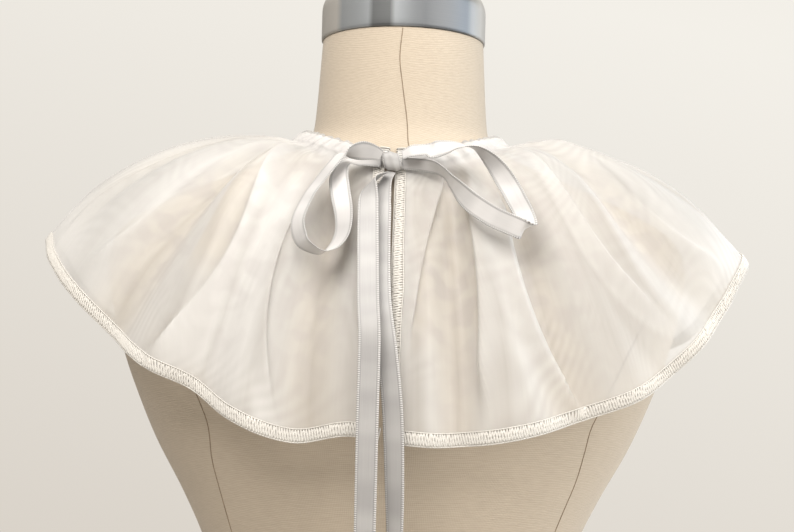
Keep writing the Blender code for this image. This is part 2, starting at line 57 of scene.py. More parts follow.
# The dress form: rings of a padded linen torso, from its flat base to the top of the neck.
FormRing = namedtuple("FormRing", "height half_width back front squareness")
FORM_RINGS = [FormRing(*row) for row in (
    (0.000, 0.150, 0.108, 0.096, 2.20),
    (0.008, 0.157, 0.113, 0.100, 2.20),
    (0.060, 0.161, 0.116, 0.100, 2.20),
    (0.120, 0.154, 0.110, 0.096, 2.20),
    (0.180, 0.123, 0.089, 0.086, 2.15),
    (0.230, 0.107, 0.077, 0.084, 2.15),
    (0.280, 0.111, 0.080, 0.092, 2.15),
    (0.325, 0.125, 0.088, 0.104, 2.15),
    (0.355, 0.139, 0.095, 0.114, 2.15),
    (0.390, 0.158, 0.101, 0.119, 2.20),
    (0.425, 0.173, 0.104, 0.116, 2.25),
    (0.450, 0.182, 0.103, 0.110, 2.25),
    (0.480, 0.190, 0.100, 0.104, 2.25),
    (0.505, 0.193, 0.095, 0.097, 2.25),
    (0.520, 0.190, 0.090, 0.091, 2.20),
    (0.530, 0.182, 0.086, 0.086, 2.20),
    (0.540, 0.167, 0.082, 0.081, 2.15),
    (0.550, 0.146, 0.078, 0.076, 2.15),
    (0.560, 0.123, 0.074, 0.071, 2.10),
    (0.569, 0.101, 0.0705, 0.067, 2.10),
    (0.576, 0.084, 0.0680, 0.0650, 2.05),
    (0.582, 0.070, 0.0650, 0.0630, 2.00),
    (0.588, 0.0625, 0.0620, 0.0610, 2.00),
    (0.595, 0.0592, 0.0595, 0.0592, 2.00),
    (0.612, 0.0573, 0.0573, 0.0573, 2.00),
    (0.635, 0.0558, 0.0558, 0.0558, 2.00),
    (0.6567, 0.0545, 0.0545, 0.0545, 2.00),
)]
FORM_SIDES = 144
FORM_ROW = 0.0045
FORM_FOOT = [0.0, 0.0015, 0.004]
FORM_CORNER = 50.0

# How the linen's weave lies on the form: metres of cloth round it for each radian on the
# neck and on the torso, the height where the neck's piece begins, and how its rows lean.
WEAVE_NECK = 0.324 * 2.0 / TURN
WEAVE_TORSO = 0.324 * 2.9 / TURN
WEAVE_NECK_FROM = 0.56
WEAVE_RISES_FROM = 0.545
WEAVE_CALM_FROM = 0.595
WEAVE_LEANS = (0.34, 0.22, 0.02)
WEAVE_LEAN = 0.0573

# The seams of the form's linen cover: a height, and the angle round the form there.
NECK_SEAM = ((0.6560, -0.5), (0.6370, -1.9), (0.6177, 0.6), (0.5900, 4.0), (0.5300, 1.0))
BACK_SEAM = ((0.5300, 1.0), (0.4300, -1.0), (0.3500, -0.5), (0.2000, 0.0), (0.0100, 0.0))
FRONT_SEAM = ((0.6560, 180.0), (0.5300, 180.0), (0.3500, 180.0), (0.1500, 180.0), (0.0100, 180.0))
SIDE_SEAM = ((0.5200, 90.0), (0.4200, 90.0), (0.3000, 90.0), (0.1500, 90.0), (0.0100, 90.0))
PRINCESS_BACK_RIGHT = ((0.5350, 72.0), (0.4800, 54.0), (0.4130, 44.6), (0.3930, 45.6),
                       (0.3700, 48.0), (0.3400, 49.2), (0.2300, 52.0), (0.1200, 48.0),
                       (0.0100, 46.0))
PRINCESS_BACK_LEFT = ((0.5350, -70.0), (0.4800, -50.0), (0.4120, -40.4), (0.3790, -43.6),
                      (0.3540, -46.0), (0.3340, -47.2), (0.2300, -51.0), (0.1200, -47.0),
                      (0.0100, -45.0))
PRINCESS_FRONT = ((0.5350, 102.0), (0.4800, 116.0), (0.4130, 124.0), (0.3700, 126.0),
                  (0.3000, 128.0), (0.2300, 128.0), (0.1200, 132.0), (0.0100, 134.0))
SEAM_THREAD = 0.00032
SEAM_STEP = 0.004

# The spun metal cap that closes the neck, with the bead that is rolled along its rim.
CAP_BASE = 0.657
CAP_RADIUS = 0.0556
CAP_HEIGHT = 0.039
CAP_EDGE_ROUND = 0.016
CAP_CROWN = 0.003
CAP_TIP = 0.002
CAP_BEAD = 0.0011
CAP_BEAD_TURN = 150.0
CAP_MOUTH = 0.050
CAP_SIDES = 160

# Where the cap's painted reflections lie, measured round it from the middle of the back: a dark
# band of painted reflection on the left, a grey patch of painted dim reflection on the right,
# and the paler flanks of painted reflection.
CAP_DARK_REFLECTION = 0.0146
CAP_DIM_REFLECTION = 0.030
CAP_PALE_REFLECTION = 0.0475
CAP_PALE_REFLECTION_BLUR = 0.003

# The collar is open at the middle of the back, from the left edge to the right edge.
EDGE_RIGHT = -0.8
EDGE_LEFT = 355.6
OPENING_SIDES = ((EDGE_RIGHT, 1.0), (EDGE_LEFT, -1.0))
EDGE_LEAN = 2.0
EDGE_LEAN_FROM = 334.0
GATHERS = 56

# The uneven gathers: how far down they reach, their heights, half widths in degrees and lean.
GATHER_DRAW = 56
GATHER_REACHES = (0.10, 0.14, 0.18, 0.26, 0.36)
GATHER_HEIGHTS = (0.0005, 0.0013)
GATHER_WIDTHS = (1.1, 1.9)
GATHER_LEANS = (-3.0, 3.0)
GATHER_OPENS = 1.4

# The casing: a narrow gathered tube round the root of the neck.
CASING_TOP_BACK = 0.5770
CASING_TOP_RISE = 0.0135
CASING_DEPTH = 0.0115
CASING_THICK = 0.0056
CASING_FLAT_END = 0.0026
CASING_FLAT_DEGREES = 22.0
WAVE_FROM = 8.0
PUCKER = 0.0011
PUCKER_FINE = 0.35
PUCKER_FINE_WAVES = 131.0
FRILL_LOW = 0.9
FRILL_TOP = 0.4
ROOT_DROP = 0.0025
CASING_COLUMNS = 14
CASING_ROUND = 19
CASING_FIRST_TURN = 92.0
CASING_SWEEP = 356.0
CASING_SQUARE = 0.65
CASING_LIFT = SEAM_GAP * 1.6
CASING_CLOTH = (0.0012, 0.0017)
CASING_DENSITY = 0.15

# The hem of the ruffle, all the way round.
HemSection = namedtuple("HemSection", "angle height reach")
HEM_SECTIONS = [HemSection(*row) for row in (
    (0, 0.4045, 1.00),
    (8, 0.4030, 1.00),
    (18, 0.4085, 1.00),
    (28, 0.4190, 1.00),
    (38, 0.4325, 1.00),
    (47, 0.4540, 1.005),
    (57, 0.4830, 1.015),
    (68, 0.5070, 0.99),
    (80, 0.5170, 0.968),
    (90, 0.5110, 0.965),
    (100, 0.4870, 0.960),
    (110, 0.4620, 0.955),
    (120, 0.4480, 0.950),
    (131, 0.4400, 0.970),
    (148, 0.4220, 0.99),
    (165, 0.4030, 1.00),
    (180, 0.3970, 1.00),
    (196, 0.4030, 1.00),
    (213, 0.4220, 0.99),
    (229, 0.4420, 0.970),
    (240, 0.4500, 0.945),
    (250, 0.4630, 0.940),
    (260, 0.4860, 0.960),
    (270, 0.5060, 0.970),
    (280, 0.5140, 0.975),
    (292, 0.5010, 0.99),
    (303, 0.4840, 1.00),
    (314, 0.4590, 1.00),
    (324, 0.4400, 1.00),
    (330, 0.4310, 1.00),
    (337, 0.4150, 1.00),
    (346, 0.4030, 1.00),
    (354, 0.4080, 1.00),
)]
HEM_HALF_WIDTH = 0.2385
HEM_BACK = 0.130
HEM_FRONT = 0.148
HEM_BAND = 0.006

# The strip that is cut for it: its depth, where its hem band begins as a share of the way
# down, and the cloth that each degree of the collar takes.
RUFFLE_DEPTH = 0.185
HEM_DOWN = 1.0 - HEM_BAND / RUFFLE_DEPTH
RUFFLE_CLOTH = 0.0039
RUFFLE_COLUMNS = 18
RUFFLE_ROWS = 56

# The ruffle's arch from the casing to the hem, before its folds. It leaves and arrives at
# shares of its width, and it is fuller away from the opening and over the shoulders.
ARCH_LEAVE = 0.28
ARCH_LEAVE_DROP = 0.026
ARCH_FULLER = 0.016
ARCH_FULL_FROM = 40.0
ARCH_SHOULDER_LIFT = 0.025
ARCH_ARRIVE = 0.17
ARCH_ARRIVE_SHOULDER = 0.10
ARCH_ARRIVE_LIFT = 0.075
ARCH_ARRIVE_FALL = 0.017
ARCH_TUCK = 0.004

# Folds of the ruffle. A ridge stands out from the cloth, a trough has a negative height.
# Its crest runs through three angles: at the neck, halfway down and at the hem.
Fold = namedtuple("Fold", "neck middle hem before after middle_height hem_height")
FOLDS = [Fold(*row) for row in (
    (4, 3, 4, 6, 5, 0.0020, 0.0030),
    (12, 10, 9, 4, 6, -0.0070, -0.0050),
    (17, 15, 13, 3, 9, 0.0080, 0.0060),
    (27, 23, 27, 5, 7, -0.0045, -0.0060),
    (40, 34, 36, 7, 7, 0.0050, 0.0050),
    (56, 43, 49, 6, 5, 0.0085, 0.0055),
    (66, 52, 57, 6, 6, -0.0055, -0.0010),
    (74, 60, 69, 6, 8, 0.0055, 0.0040),
    (84, 76, 80, 8, 8, -0.0035, -0.0020),
    (94, 92, 92, 9, 9, 0.0030, 0.0025),
    (105, 106, 106, 7, 8, -0.0005, -0.0020),
    (118, 119, 121, 9, 7, 0.0085, 0.0060),
    (131, 134, 134, 6, 8, -0.0030, -0.0065),
    (143, 147, 147, 9, 7, 0.0070, 0.0085),
    (156, 159, 160, 7, 6, -0.0055, -0.0065),
    (167, 170, 171, 7, 8, 0.0065, 0.0075),
    (181, 183, 183, 7, 7, -0.0055, -0.0060),
    (194, 196, 195, 7, 8, 0.0070, 0.0080),
    (207, 209, 208, 7, 7, -0.0050, -0.0070),
    (219, 222, 221, 8, 9, 0.0075, 0.0090),
    (234, 235, 235, 7, 7, -0.0010, -0.0050),
    (246, 247, 249, 8, 8, 0.0075, 0.0045),
    (259, 262, 262, 8, 7, -0.0010, -0.0020),
    (272, 275, 276, 8, 9, 0.0030, 0.0040),
    (288, 288, 289, 7, 7, -0.0035, 0.0020),
    (304, 303, 302, 9, 8, 0.0045, 0.0030),
    (313, 315, 313, 6, 5, -0.0075, -0.0050),
    (313, 326, 324, 7, 5, 0.0090, 0.0080),
    (331, 333, 331, 5, 5, -0.0040, -0.0040),
    (337, 338, 340, 6, 4, 0.0060, 0.0065),
    (345, 346, 348, 4, 5, -0.0050, -0.0030),
    (351, 352, 353, 5, 4, 0.0025, 0.0020),
)]
FOLD_SPREAD = 1.35

# Creases, rolls and gathers are bell curves. They end at so many half widths.
BELL_END = 3.0

# Finer creases of the thin cloth: angle and share of the way down at both ends, their
# half width in degrees and their height.
Crease = namedtuple("Crease", "angle start end_angle end half_width height")
CREASES = [Crease(*row) for row in (
    (-47.0, 0.02, -42.5, 0.42, 2.6, -0.0016),
    (-40.0, 0.04, -33.5, 0.62, 1.9, 0.0014),
    (-30.0, 0.02, -27.0, 0.50, 2.2, 0.0011),
    (-25.0, 0.03, -20.5, 0.80, 1.8, -0.0012),
    (-17.0, 0.02, -15.5, 0.45, 1.8, 0.0010),
    (-58.0, 0.04, -60.0, 0.55, 3.0, 0.0012),
    (-72.0, 0.03, -74.0, 0.60, 3.4, -0.0013),
    (15.0, 0.02, 6.0, 0.52, 2.0, 0.0015),
    (20.0, 0.02, 14.5, 0.75, 1.7, 0.0014),
    (28.0, 0.03, 22.0, 0.60, 2.0, -0.0012),
    (33.0, 0.02, 30.0, 0.85, 2.4, 0.0010),
    (47.0, 0.02, 43.0, 0.70, 2.0, 0.0016),
    (58.0, 0.03, 52.0, 0.60, 2.6, -0.0012),
    (67.0, 0.03, 60.0, 0.60, 3.0, 0.0013),
    (80.0, 0.03, 78.0, 0.50, 3.4, -0.0010),
)]

# Folds that roll over to one side, so that an edge of cloth shows. The crest runs through
# three angles, as above; lean is how far it rolls, towards higher angles if positive.
# Half width, height and lean are lengths.
Roll = namedtuple("Roll", "neck middle hem start end half_width height lean")
ROLLS = [Roll(*row) for row in (
    (13.0, 2.6, 1.6, 0.02, 0.80, 0.0038, 0.0028, 0.0052),
    (19.5, 16.0, 12.0, 0.14, 0.95, 0.0038, 0.0030, -0.0062),
    (32.0, 19.5, 27.5, 0.20, 1.05, 0.0042, 0.0034, 0.0068),
    (49.5, 36.5, 52.0, 0.02, 0.90, 0.0044, 0.0030, 0.0050),
    (75.0, 54.5, 64.5, 0.02, 1.00, 0.0046, 0.0026, 0.0038),
    (-45.0, -29.0, -37.0, 0.00, 1.08, 0.0046, 0.0030, -0.0046),
    (-19.0, -23.0, -15.5, 0.18, 1.00, 0.0036, 0.0026, 0.0042),
    (-54.0, -48.5, -58.0, 0.00, 1.00, 0.0048, 0.0026, -0.0038),
    (-78.0, -70.0, -72.0, 0.05, 0.95, 0.0048, 0.0022, -0.0054),
    (101.0, 104.0, 106.0, 0.05, 0.95, 0.0050, 0.0026, -0.0056),
    (119.0, 122.0, 124.0, 0.00, 1.05, 0.0046, 0.0036, 0.0070),
    (144.0, 149.0, 148.0, 0.02, 1.00, 0.0044, 0.0032, -0.0064),
    (168.0, 172.0, 171.0, 0.08, 1.05, 0.0042, 0.0032, 0.0064),
    (192.0, 195.0, 196.0, 0.02, 0.90, 0.0042, 0.0036, -0.0064),
    (219.0, 223.0, 221.0, 0.00, 1.05, 0.0046, 0.0036, 0.0070),
    (246.0, 248.0, 250.0, 0.05, 1.00, 0.0048, 0.0028, -0.0060),
    (268.0, 272.0, 275.0, 0.05, 0.95, 0.0052, 0.0022, 0.0052),
)]
ROLL_EASE = 0.22

# Panels between two folds: their two sides run through three angles each, as above, then
# from where to where down, and how strongly. White ones lie double and carry a painted highlight,
# and warm ones lie deep and carry painted shade.
Panel = namedtuple("Panel", "low high start end share")
DOUBLE_AND_HIGHLIGHT_PANELS = [Panel(*row) for row in (
    ((-45.5, -30.0, -38.0), (-19.5, -23.5, -16.0), 0.12, 1.05, 0.34),
    ((-100.0, -95.0, -100.0), (-47.0, -31.5, -39.5), 0.20, 1.05, 0.12),
    ((19.5, 16.0, 12.0), (30.0, 18.8, 26.5), 0.10, 1.00, 0.08),
    ((47.0, 34.2, 49.2), (49.8, 36.8, 52.2), 0.04, 1.00, 0.26),
)]
# Warm panels: painted shade where the cloth lies deep beside a fold.
WARM_SHADE_PANELS = [Panel(*row) for row in (
    ((-53.0, -36.5, -43.0), (-46.0, -30.5, -38.5), 0.02, 0.75, 1.00),
    ((13.5, 3.6, 3.0), (19.0, 15.0, 11.0), 0.02, 0.80, 0.85),
)]
PANEL_SIDE = 1.6
PANEL_ENDS = (0.25, 0.15)

# How dense the cloth looks where it is gathered, along its edges, on the flanks of its folds
# and at its two tips, how deep its hollows are before they take painted shade, and how near
# to the form the linen shows through in patches.
GATHER_DENSITY = 0.42
GATHER_FADE = 0.10
HEM_DENSITY = 0.9
EDGE_DENSITY = 0.12
FLANK_DENSITY = 0.25
TIP_DENSITY = 0.45
TIP_FROM = 50.0
TIP_TO = 125.0
TIP_DOWN = 0.70
HOLLOW_FROM = 0.003
HOLLOW_DEPTH = 0.009
HOLLOW_DOWN = 0.12
DEGREE_LENGTH = 0.0022
FLANK_STEEP = 180.0
NEAR_FORM = 0.024

# Where the ruffle leaves the casing that it covers, and its puff over the shoulders.
ROOT_BLEND = 0.035
ROOT_WAVE = 0.0014
ROOT_FADE = 0.11
OVER_CASING = 0.055
OVER_CASING_SHARE = 0.82
OVER_CASING_CROWN = 0.30
OVER_CASING_ROUND = 0.35
SHOULDER_PUFF = 0.0042
PUFF_DOWN = 0.09

# The ribbon: 12 mm satin, pulled through the casing and tied in a bow behind.
RIBBON_WIDTH = 0.012
RIBBON_WALL = 0.0004
KNOT_CENTRE = (-0.0050, 0.5683)
KNOT_SIZE = (0.0120, 0.0085, 0.0118)
KNOT_ROUND = 72
KNOT_ACROSS = 24
KNOT_OFF = 0.0012
KNOT_SKEW = 0.0012
KNOT_SQUARE = 0.8
KNOT_PLEAT = 0.045
KNOT_TURN_LENGTH = 0.0005

# Rows along each ribbon: where its middle lies, how its width leans in the view from behind,
# how far that width turns away from that view, and its width as a share of the whole.
RibbonRow = namedtuple("RibbonRow", "x y z lean turn width")
RIBBONS = {
    "ribbon_loop_left": (
        (-0.0114, -0.0815, 0.5712, 92, 24, 0.54),
        (-0.0160, -0.0850, 0.5725, 92, 26, 0.79),
        (-0.0223, -0.0885, 0.5730, 85, 28, 1.00),
        (-0.0290, -0.0915, 0.5720, 80, 55, 1.00),
        (-0.0348, -0.0930, 0.5700, -29, 64, 1.00),
        (-0.0408, -0.0960, 0.5625, -35, 60, 1.00),
        (-0.0475, -0.0990, 0.5530, -20, 58, 1.00),
        (-0.0535, -0.1040, 0.5430, 12, 45, 1.00),
        (-0.0583, -0.1100, 0.5290, 8, 46, 1.00),
        (-0.0556, -0.1140, 0.5180, 14, 46, 1.00),
        (-0.0490, -0.1160, 0.5125, 43, 64, 1.00),
        (-0.0420, -0.1160, 0.5108, 20, 75, 1.00),
        (-0.0360, -0.1130, 0.5150, -25, 62, 1.00),
        (-0.0322, -0.1090, 0.5230, -5, 43, 1.00),
        (-0.0321, -0.1050, 0.5342, 12, 25, 1.00),
        (-0.0348, -0.0990, 0.5476, 11, 8, 1.00),
        (-0.0360, -0.0930, 0.5580, 16, 20, 1.00),
        (-0.0325, -0.0860, 0.5655, -40, 60, 0.88),
        (-0.0240, -0.0795, 0.5680, -80, 40, 0.71),
        (-0.0160, -0.0762, 0.5685, -90, 10, 0.58),
        (-0.0114, -0.0752, 0.5680, -90, 4, 0.54),
    ),
    "ribbon_loop_right": (
        (0.0014, -0.0812, 0.5720, -88, 24, 0.54),
        (0.0073, -0.0835, 0.5744, -88, 34, 0.75),
        (0.0158, -0.0830, 0.5755, -77, 48, 0.96),
        (0.0211, -0.0850, 0.5755, -87, 26, 1.00),
        (0.0287, -0.0880, 0.5765, -88, 45, 1.00),
        (0.0360, -0.0910, 0.5770, -100, 70, 1.00),
        (0.0430, -0.0930, 0.5760, -30, 84, 1.00),
        (0.0490, -0.0950, 0.5725, 28, 69, 1.00),
        (0.0564, -0.0980, 0.5650, 28, 43, 1.00),
        (0.0640, -0.1010, 0.5540, 19, 12, 1.00),
        (0.0691, -0.1040, 0.5446, 13, 6, 1.00),
        (0.0730, -0.1060, 0.5369, 8, 4, 1.00),
        (0.0748, -0.1095, 0.5300, 20, 4, 1.00),
        (0.0725, -0.1140, 0.5270, 44, 4, 1.00),
        (0.0660, -0.1150, 0.5290, 56, 4, 1.00),
        (0.0543, -0.1140, 0.5340, 64, 6, 1.00),
        (0.0433, -0.1100, 0.5412, 72, 12, 1.00),
        (0.0374, -0.1060, 0.5467, 74, 24, 1.00),
        (0.0308, -0.1000, 0.5545, 83, 55, 1.00),
        (0.0262, -0.0950, 0.5605, 95, 64, 0.92),
        (0.0205, -0.0880, 0.5645, 92, 50, 0.79),
        (0.0120, -0.0790, 0.5665, 90, 20, 0.62),
        (0.0014, -0.0752, 0.5672, 90, 6, 0.54),
    ),
    "ribbon_tail_left": (
        (-0.0080, -0.0805, 0.5607, 24, 16, 0.50),
        (-0.0122, -0.0838, 0.5580, 44, 36, 0.71),
        (-0.0172, -0.0880, 0.5540, 40, 40, 0.88),
        (-0.0181, -0.0960, 0.5450, 16, 14, 1.00),
        (-0.0177, -0.1060, 0.5304, 2, 10, 1.00),
        (-0.0170, -0.1150, 0.5132, 2, 8, 1.00),
        (-0.0157, -0.1270, 0.4839, 2, 8, 1.00),
        (-0.0142, -0.1340, 0.4616, 2, 8, 1.00),
        (-0.0140, -0.1390, 0.4198, 2, 10, 1.00),
        (-0.0138, -0.1400, 0.3800, 2, 14, 1.00),
        (-0.0136, -0.1400, 0.3400, 2, 18, 1.00),
        (-0.0134, -0.1395, 0.2900, 2, 12, 1.00),
        (-0.0133, -0.1390, 0.2350, 2, 4, 1.00),
    ),
    "ribbon_tail_right": (
        (-0.0052, -0.0770, 0.5619, 2, 16, 0.50),
        (-0.0080, -0.0800, 0.5560, 2, 30, 0.67),
        (-0.0100, -0.0865, 0.5470, 2, 18, 0.88),
        (-0.0106, -0.0930, 0.5380, 2, 8, 1.00),
        (-0.0104, -0.1040, 0.5150, 2, 6, 1.00),
        (-0.0090, -0.1200, 0.4841, 2, 6, 1.00),
        (-0.0045, -0.1290, 0.4562, 2, 20, 1.00),
        (-0.0010, -0.1340, 0.4304, 2, 24, 1.00),
        (0.0007, -0.1360, 0.4090, 2, 26, 1.00),
        (0.0020, -0.1365, 0.3800, 2, 34, 1.00),
        (0.0033, -0.1365, 0.3400, 2, 48, 1.00),
        (0.0040, -0.1365, 0.2950, 2, 30, 1.00),
        (0.0045, -0.1360, 0.2480, 2, 10, 1.00),
    ),
}
RIBBON_CLEAR = {"ribbon_loop_left": 0.0016, "ribbon_loop_right": 0.0016,
                "ribbon_tail_left": 0.0040, "ribbon_tail_right": 0.0014}
RIBBON_STEP = 0.0006
RIBBON_SAMPLES = 1200
RIBBON_CALM = 0.008
RIBBON_ACROSS = (-1.0, -0.93, -0.86, -0.72, -0.45, -0.15, 0.15, 0.45, 0.72, 0.86, 0.93, 1.0)
TAIL_SLANT = 0.0045
PICOT_PITCH = 0.0012
PICOT_SIZE = 0.00028

# Sewing thread. The points of one overlock stitch, front and back, are each given by their
# share of the way to the edge, their lift in threads and their share of the way along.
STITCH_PITCH = 0.00162
STITCH_THREAD = 0.00062
STITCH_FRONT = ((0.0, 0.2, 0.0), (0.12, 0.50, 0.1), (0.5, 0.62, 0.45), (0.9, 0.50, 0.85),
                (1.05, 0.0, 1.0), (0.9, -0.50, 1.0), (0.5, -0.62, 1.0), (0.08, -0.5, 1.0))
STITCH_BACK = ((0.02, 0.3, 1.95), (0.3, 0.58, 1.75), (0.7, 0.58, 1.35), (1.0, 0.3, 1.1))
STITCH_UNEVEN = 0.15
STITCH_RAGGED = 0.06
STITCH_LEAN = 1.1
NEEDLE_LIFT = 1.2
LOOPER_OUT = 0.7
STITCH_DRAW = 7
EDGE_SAMPLES = 900
RUNNING_STITCHES = 150
RUNNING_THREAD = 0.00022
RUNNING_DOWN = 0.80
END_STITCHES = 7
END_THREAD = 0.0004
END_PATH = ((3.6, 0.5), (3.2, 1.12), (1.6, 1.18), (-0.1, 1.0), (-0.5, 0.5), (-0.1, 0.15))

# Colours of the finishes: pairs run from dark to pale.
LINEN_TONES = ((0.330, 0.276, 0.213), (0.512, 0.442, 0.354))
LINEN_SPECKS = (0.20, 0.14, 0.08)
SEAM_TONES = ((0.12, 0.09, 0.06), (0.30, 0.23, 0.16))
# The steel's tones. Its soft vertical clouds, dark band, pale flanks and dim patch are painted
# reflections.
STEEL_TONES = ((0.215, 0.235, 0.255), (0.275, 0.285, 0.290))
STEEL_DARK_REFLECTION = (0.045, 0.047, 0.047)
STEEL_PALE_REFLECTION = (0.45, 0.425, 0.39)
STEEL_DIM_REFLECTION = (0.070, 0.075, 0.082)
STEEL_LINES = (0.44, 0.45, 0.46)
ORGANZA_TONES = ((0.50, 0.488, 0.470), (0.66, 0.652, 0.640))
# Painted shade: the warm tone of the hollows between the folds and of the warm panels.
ORGANZA_HOLLOW_SHADE = (0.60, 0.550, 0.480)
ORGANZA_SPOTS = (0.455, 0.430, 0.425)
THREAD_TONES = ((0.50, 0.48, 0.445), (0.64, 0.615, 0.575))
SATIN_TONES = ((0.38, 0.371, 0.367), (0.57, 0.557, 0.548))
SATIN_EDGE_TONES = ((0.16, 0.155, 0.15), (0.66, 0.65, 0.64))
# Painted shade of a groove just inside each woven edge.
SATIN_GROOVE_SHADE = (0.22, 0.215, 0.215)
FLOOR_TONES = ((0.64, 0.60, 0.55), (0.68, 0.64, 0.59))

# How close the finishes' threads lie, and how the watered look of the organza repeats.
LINEN_WEFT = 0.00115
LINEN_WARP = 0.00105
LINEN_WANDER = 0.0016
RING_WAVES = 300.0
RIPPLE_WAVES = 270.0
BUMP_DEPTH = 0.0004

# The view of the photograph.
CAMERA_PLACE = (0.0, -0.749, 0.490)
CAMERA_PITCH = 1.246
CAMERA_ROLL = 1.6
CAMERA_LENS = 50.0
CAMERA_SENSOR = 36.0

# The room: its wall as seen behind the part, low and high, and the light that it gives.
WALL_LOW = (0.68, 0.63, 0.565)
WALL_HIGH = (0.90, 0.87, 0.81)
ROOM_LIGHT = 0.36
Lamp = namedtuple("Lamp", "name place aim size power colour")
LAMPS = [Lamp(*row) for row in (
    ("window_light", (1.6, -1.2, 1.4), (0.0, 0.0, 0.55), 2.0, 44.0, (1.0, 0.965, 0.92)),
    ("side_light", (1.5, 0.1, 0.8), (0.0, 0.0, 0.50), 1.0, 13.0, (0.73, 0.86, 1.0)),
    ("ceiling_light", (-0.25, -0.70, 1.35), (0.0, 0.0, 0.60), 0.8, 19.0, (1.0, 0.965, 0.92)),
)]
FLOOR_RADIUS = 1.35
FLOOR_SIDES = 96


def turned(angle):
    """The same angle, between -180 and 180."""
    return (angle + 180.0) % 360.0 - 180.0


def smooth(t):
    """Ease from 0 to 1 over the unit interval."""
    t = max(0.0, min(1.0, t))
    return t * t * (3.0 - 2.0 * t)


def squared(share, power):
    """A sine or cosine pushed outward, so that its circle grows towards a square."""
    return math.copysign(abs(share) ** power, share)


def spline(rows, at, columns):
    """Values of a table at one place along its first column, on a smooth curve."""
    keys = [row[0] for row in rows]
    i = max(0, min(len(rows) - 2, bisect.bisect_right(keys, at) - 1))
    before, low, high, after = (rows[max(0, min(len(rows) - 1, i + k))] for k in (-1, 0, 1, 2))
    span = high[0] - low[0]
    t = max(0.0, min(1.0, (at - low[0]) / span))
    values = []
    for c in columns:
        rise_low = (high[c] - before[c]) / (high[0] - before[0]) * span
        rise_high = (after[c] - low[c]) / (after[0] - low[0]) * span
        values.append((2 * t**3 - 3 * t**2 + 1) * low[c] + (t**3 - 2 * t**2 + t) * rise_low
                      + (3 * t**2 - 2 * t**3) * high[c] + (t**3 - t**2) * rise_high)
    return values


def heading(angle):
    """How far to the wearer's right and how far forward one step at an angle goes."""
    return math.sin(math.radians(angle)), -math.cos(math.radians(angle))


def form_point(row, angle):
    """A point of one ring of the dress form."""
    side, ahead = heading(angle)
    depth = row.front if ahead > 0 else row.back
    power = 2.0 / row.squareness
    return Vector((row.half_width * squared(side, power), depth * squared(ahead, power),
                   row.height))


def form_surface(height, angle):
    """A point of the dress form at any height, between its rings."""
    heights = [row.height for row in FORM_RINGS]
    i = max(0, min(len(heights) - 2, bisect.bisect_right(heights, height) - 1))
    t = (height - heights[i]) / (heights[i + 1] - heights[i])
    return form_point(FORM_RINGS[i], angle).lerp(form_point(FORM_RINGS[i + 1], angle), t)


def form_smooth(height, angle):
    """A point of the dress form's fine surface at any height."""
    return form_point(FormRing(height, *spline(FORM_RINGS, height, (1, 2, 3, 4))), angle)


def back_turn(angle):
    """The angle measured from the middle of the back, either way round, from 0 to 180."""
    return abs(turned(angle))


def side_share(angle):
    """0 at the back and front, 1 at the two shoulders."""
    return math.sin(math.radians(angle)) ** 2


def collar_angle(step, steps):
    """The angle after some of the even steps from the right edge round to the left one."""
    return EDGE_RIGHT + (EDGE_LEFT - EDGE_RIGHT) * step / steps


def gather_wave(angle):
    """The even run of gathers from one edge of the opening to the other, from -1 to 1."""
    place = (angle - EDGE_RIGHT) / (EDGE_LEFT - EDGE_RIGHT)
    flat_end = smooth((back_turn(angle) - WAVE_FROM) / (CASING_FLAT_DEGREES - WAVE_FROM))
    uneven = 0.75 + 0.25 * math.sin(math.radians(5.0 * angle + 40.0))
    return flat_end * uneven * math.cos(TURN * GATHERS * place)


@functools.lru_cache(maxsize=None)
def casing_frame(angle):
    """Where the casing lies on the form: its upper inner corner, outward and down the form."""
    top = CASING_TOP_BACK + CASING_TOP_RISE * side_share(angle)
    high = form_surface(top, angle)
    low = form_surface(top - 0.55 * CASING_DEPTH, angle)
    down = (low - high).normalized()
    round_neck = Vector((math.cos(math.radians(angle)), math.sin(math.radians(angle)), 0.0))
    outward = down.cross(round_neck).normalized()
    if outward.z < 0.0:
        outward.negate()
    return high, outward, down


def casing_thickness(angle):
    """The casing is flat at its two open ends and full where it is gathered."""
    share = smooth((back_turn(angle) - 10.0) / CASING_FLAT_DEGREES)
    return CASING_FLAT_END + (CASING_THICK - CASING_FLAT_END) * share


@functools.lru_cache(maxsize=None)
def ruffle_root(angle):
    """The top edge of the ruffle, just below the outer lower edge of the casing."""
    high, outward, down = casing_frame(angle)
    thick = casing_thickness(angle)
    return high + outward * (SEAM_GAP + 0.50 * thick) + down * (CASING_DEPTH + ROOT_DROP)


@functools.lru_cache(maxsize=None)
def hem_point(angle):
    """The hem before the folds are added."""
    turn = angle % 360.0
    rows = [row._replace(angle=row.angle - 360) for row in HEM_SECTIONS[-2:]] + HEM_SECTIONS
    rows += [row._replace(angle=row.angle + 360) for row in HEM_SECTIONS[:2]]
    height, reach = spline(rows, turn, (1, 2))
    side, ahead = heading(turn)
    depth = HEM_FRONT if ahead > 0 else HEM_BACK
    return Vector((HEM_HALF_WIDTH * side * reach, depth * ahead * reach, height))


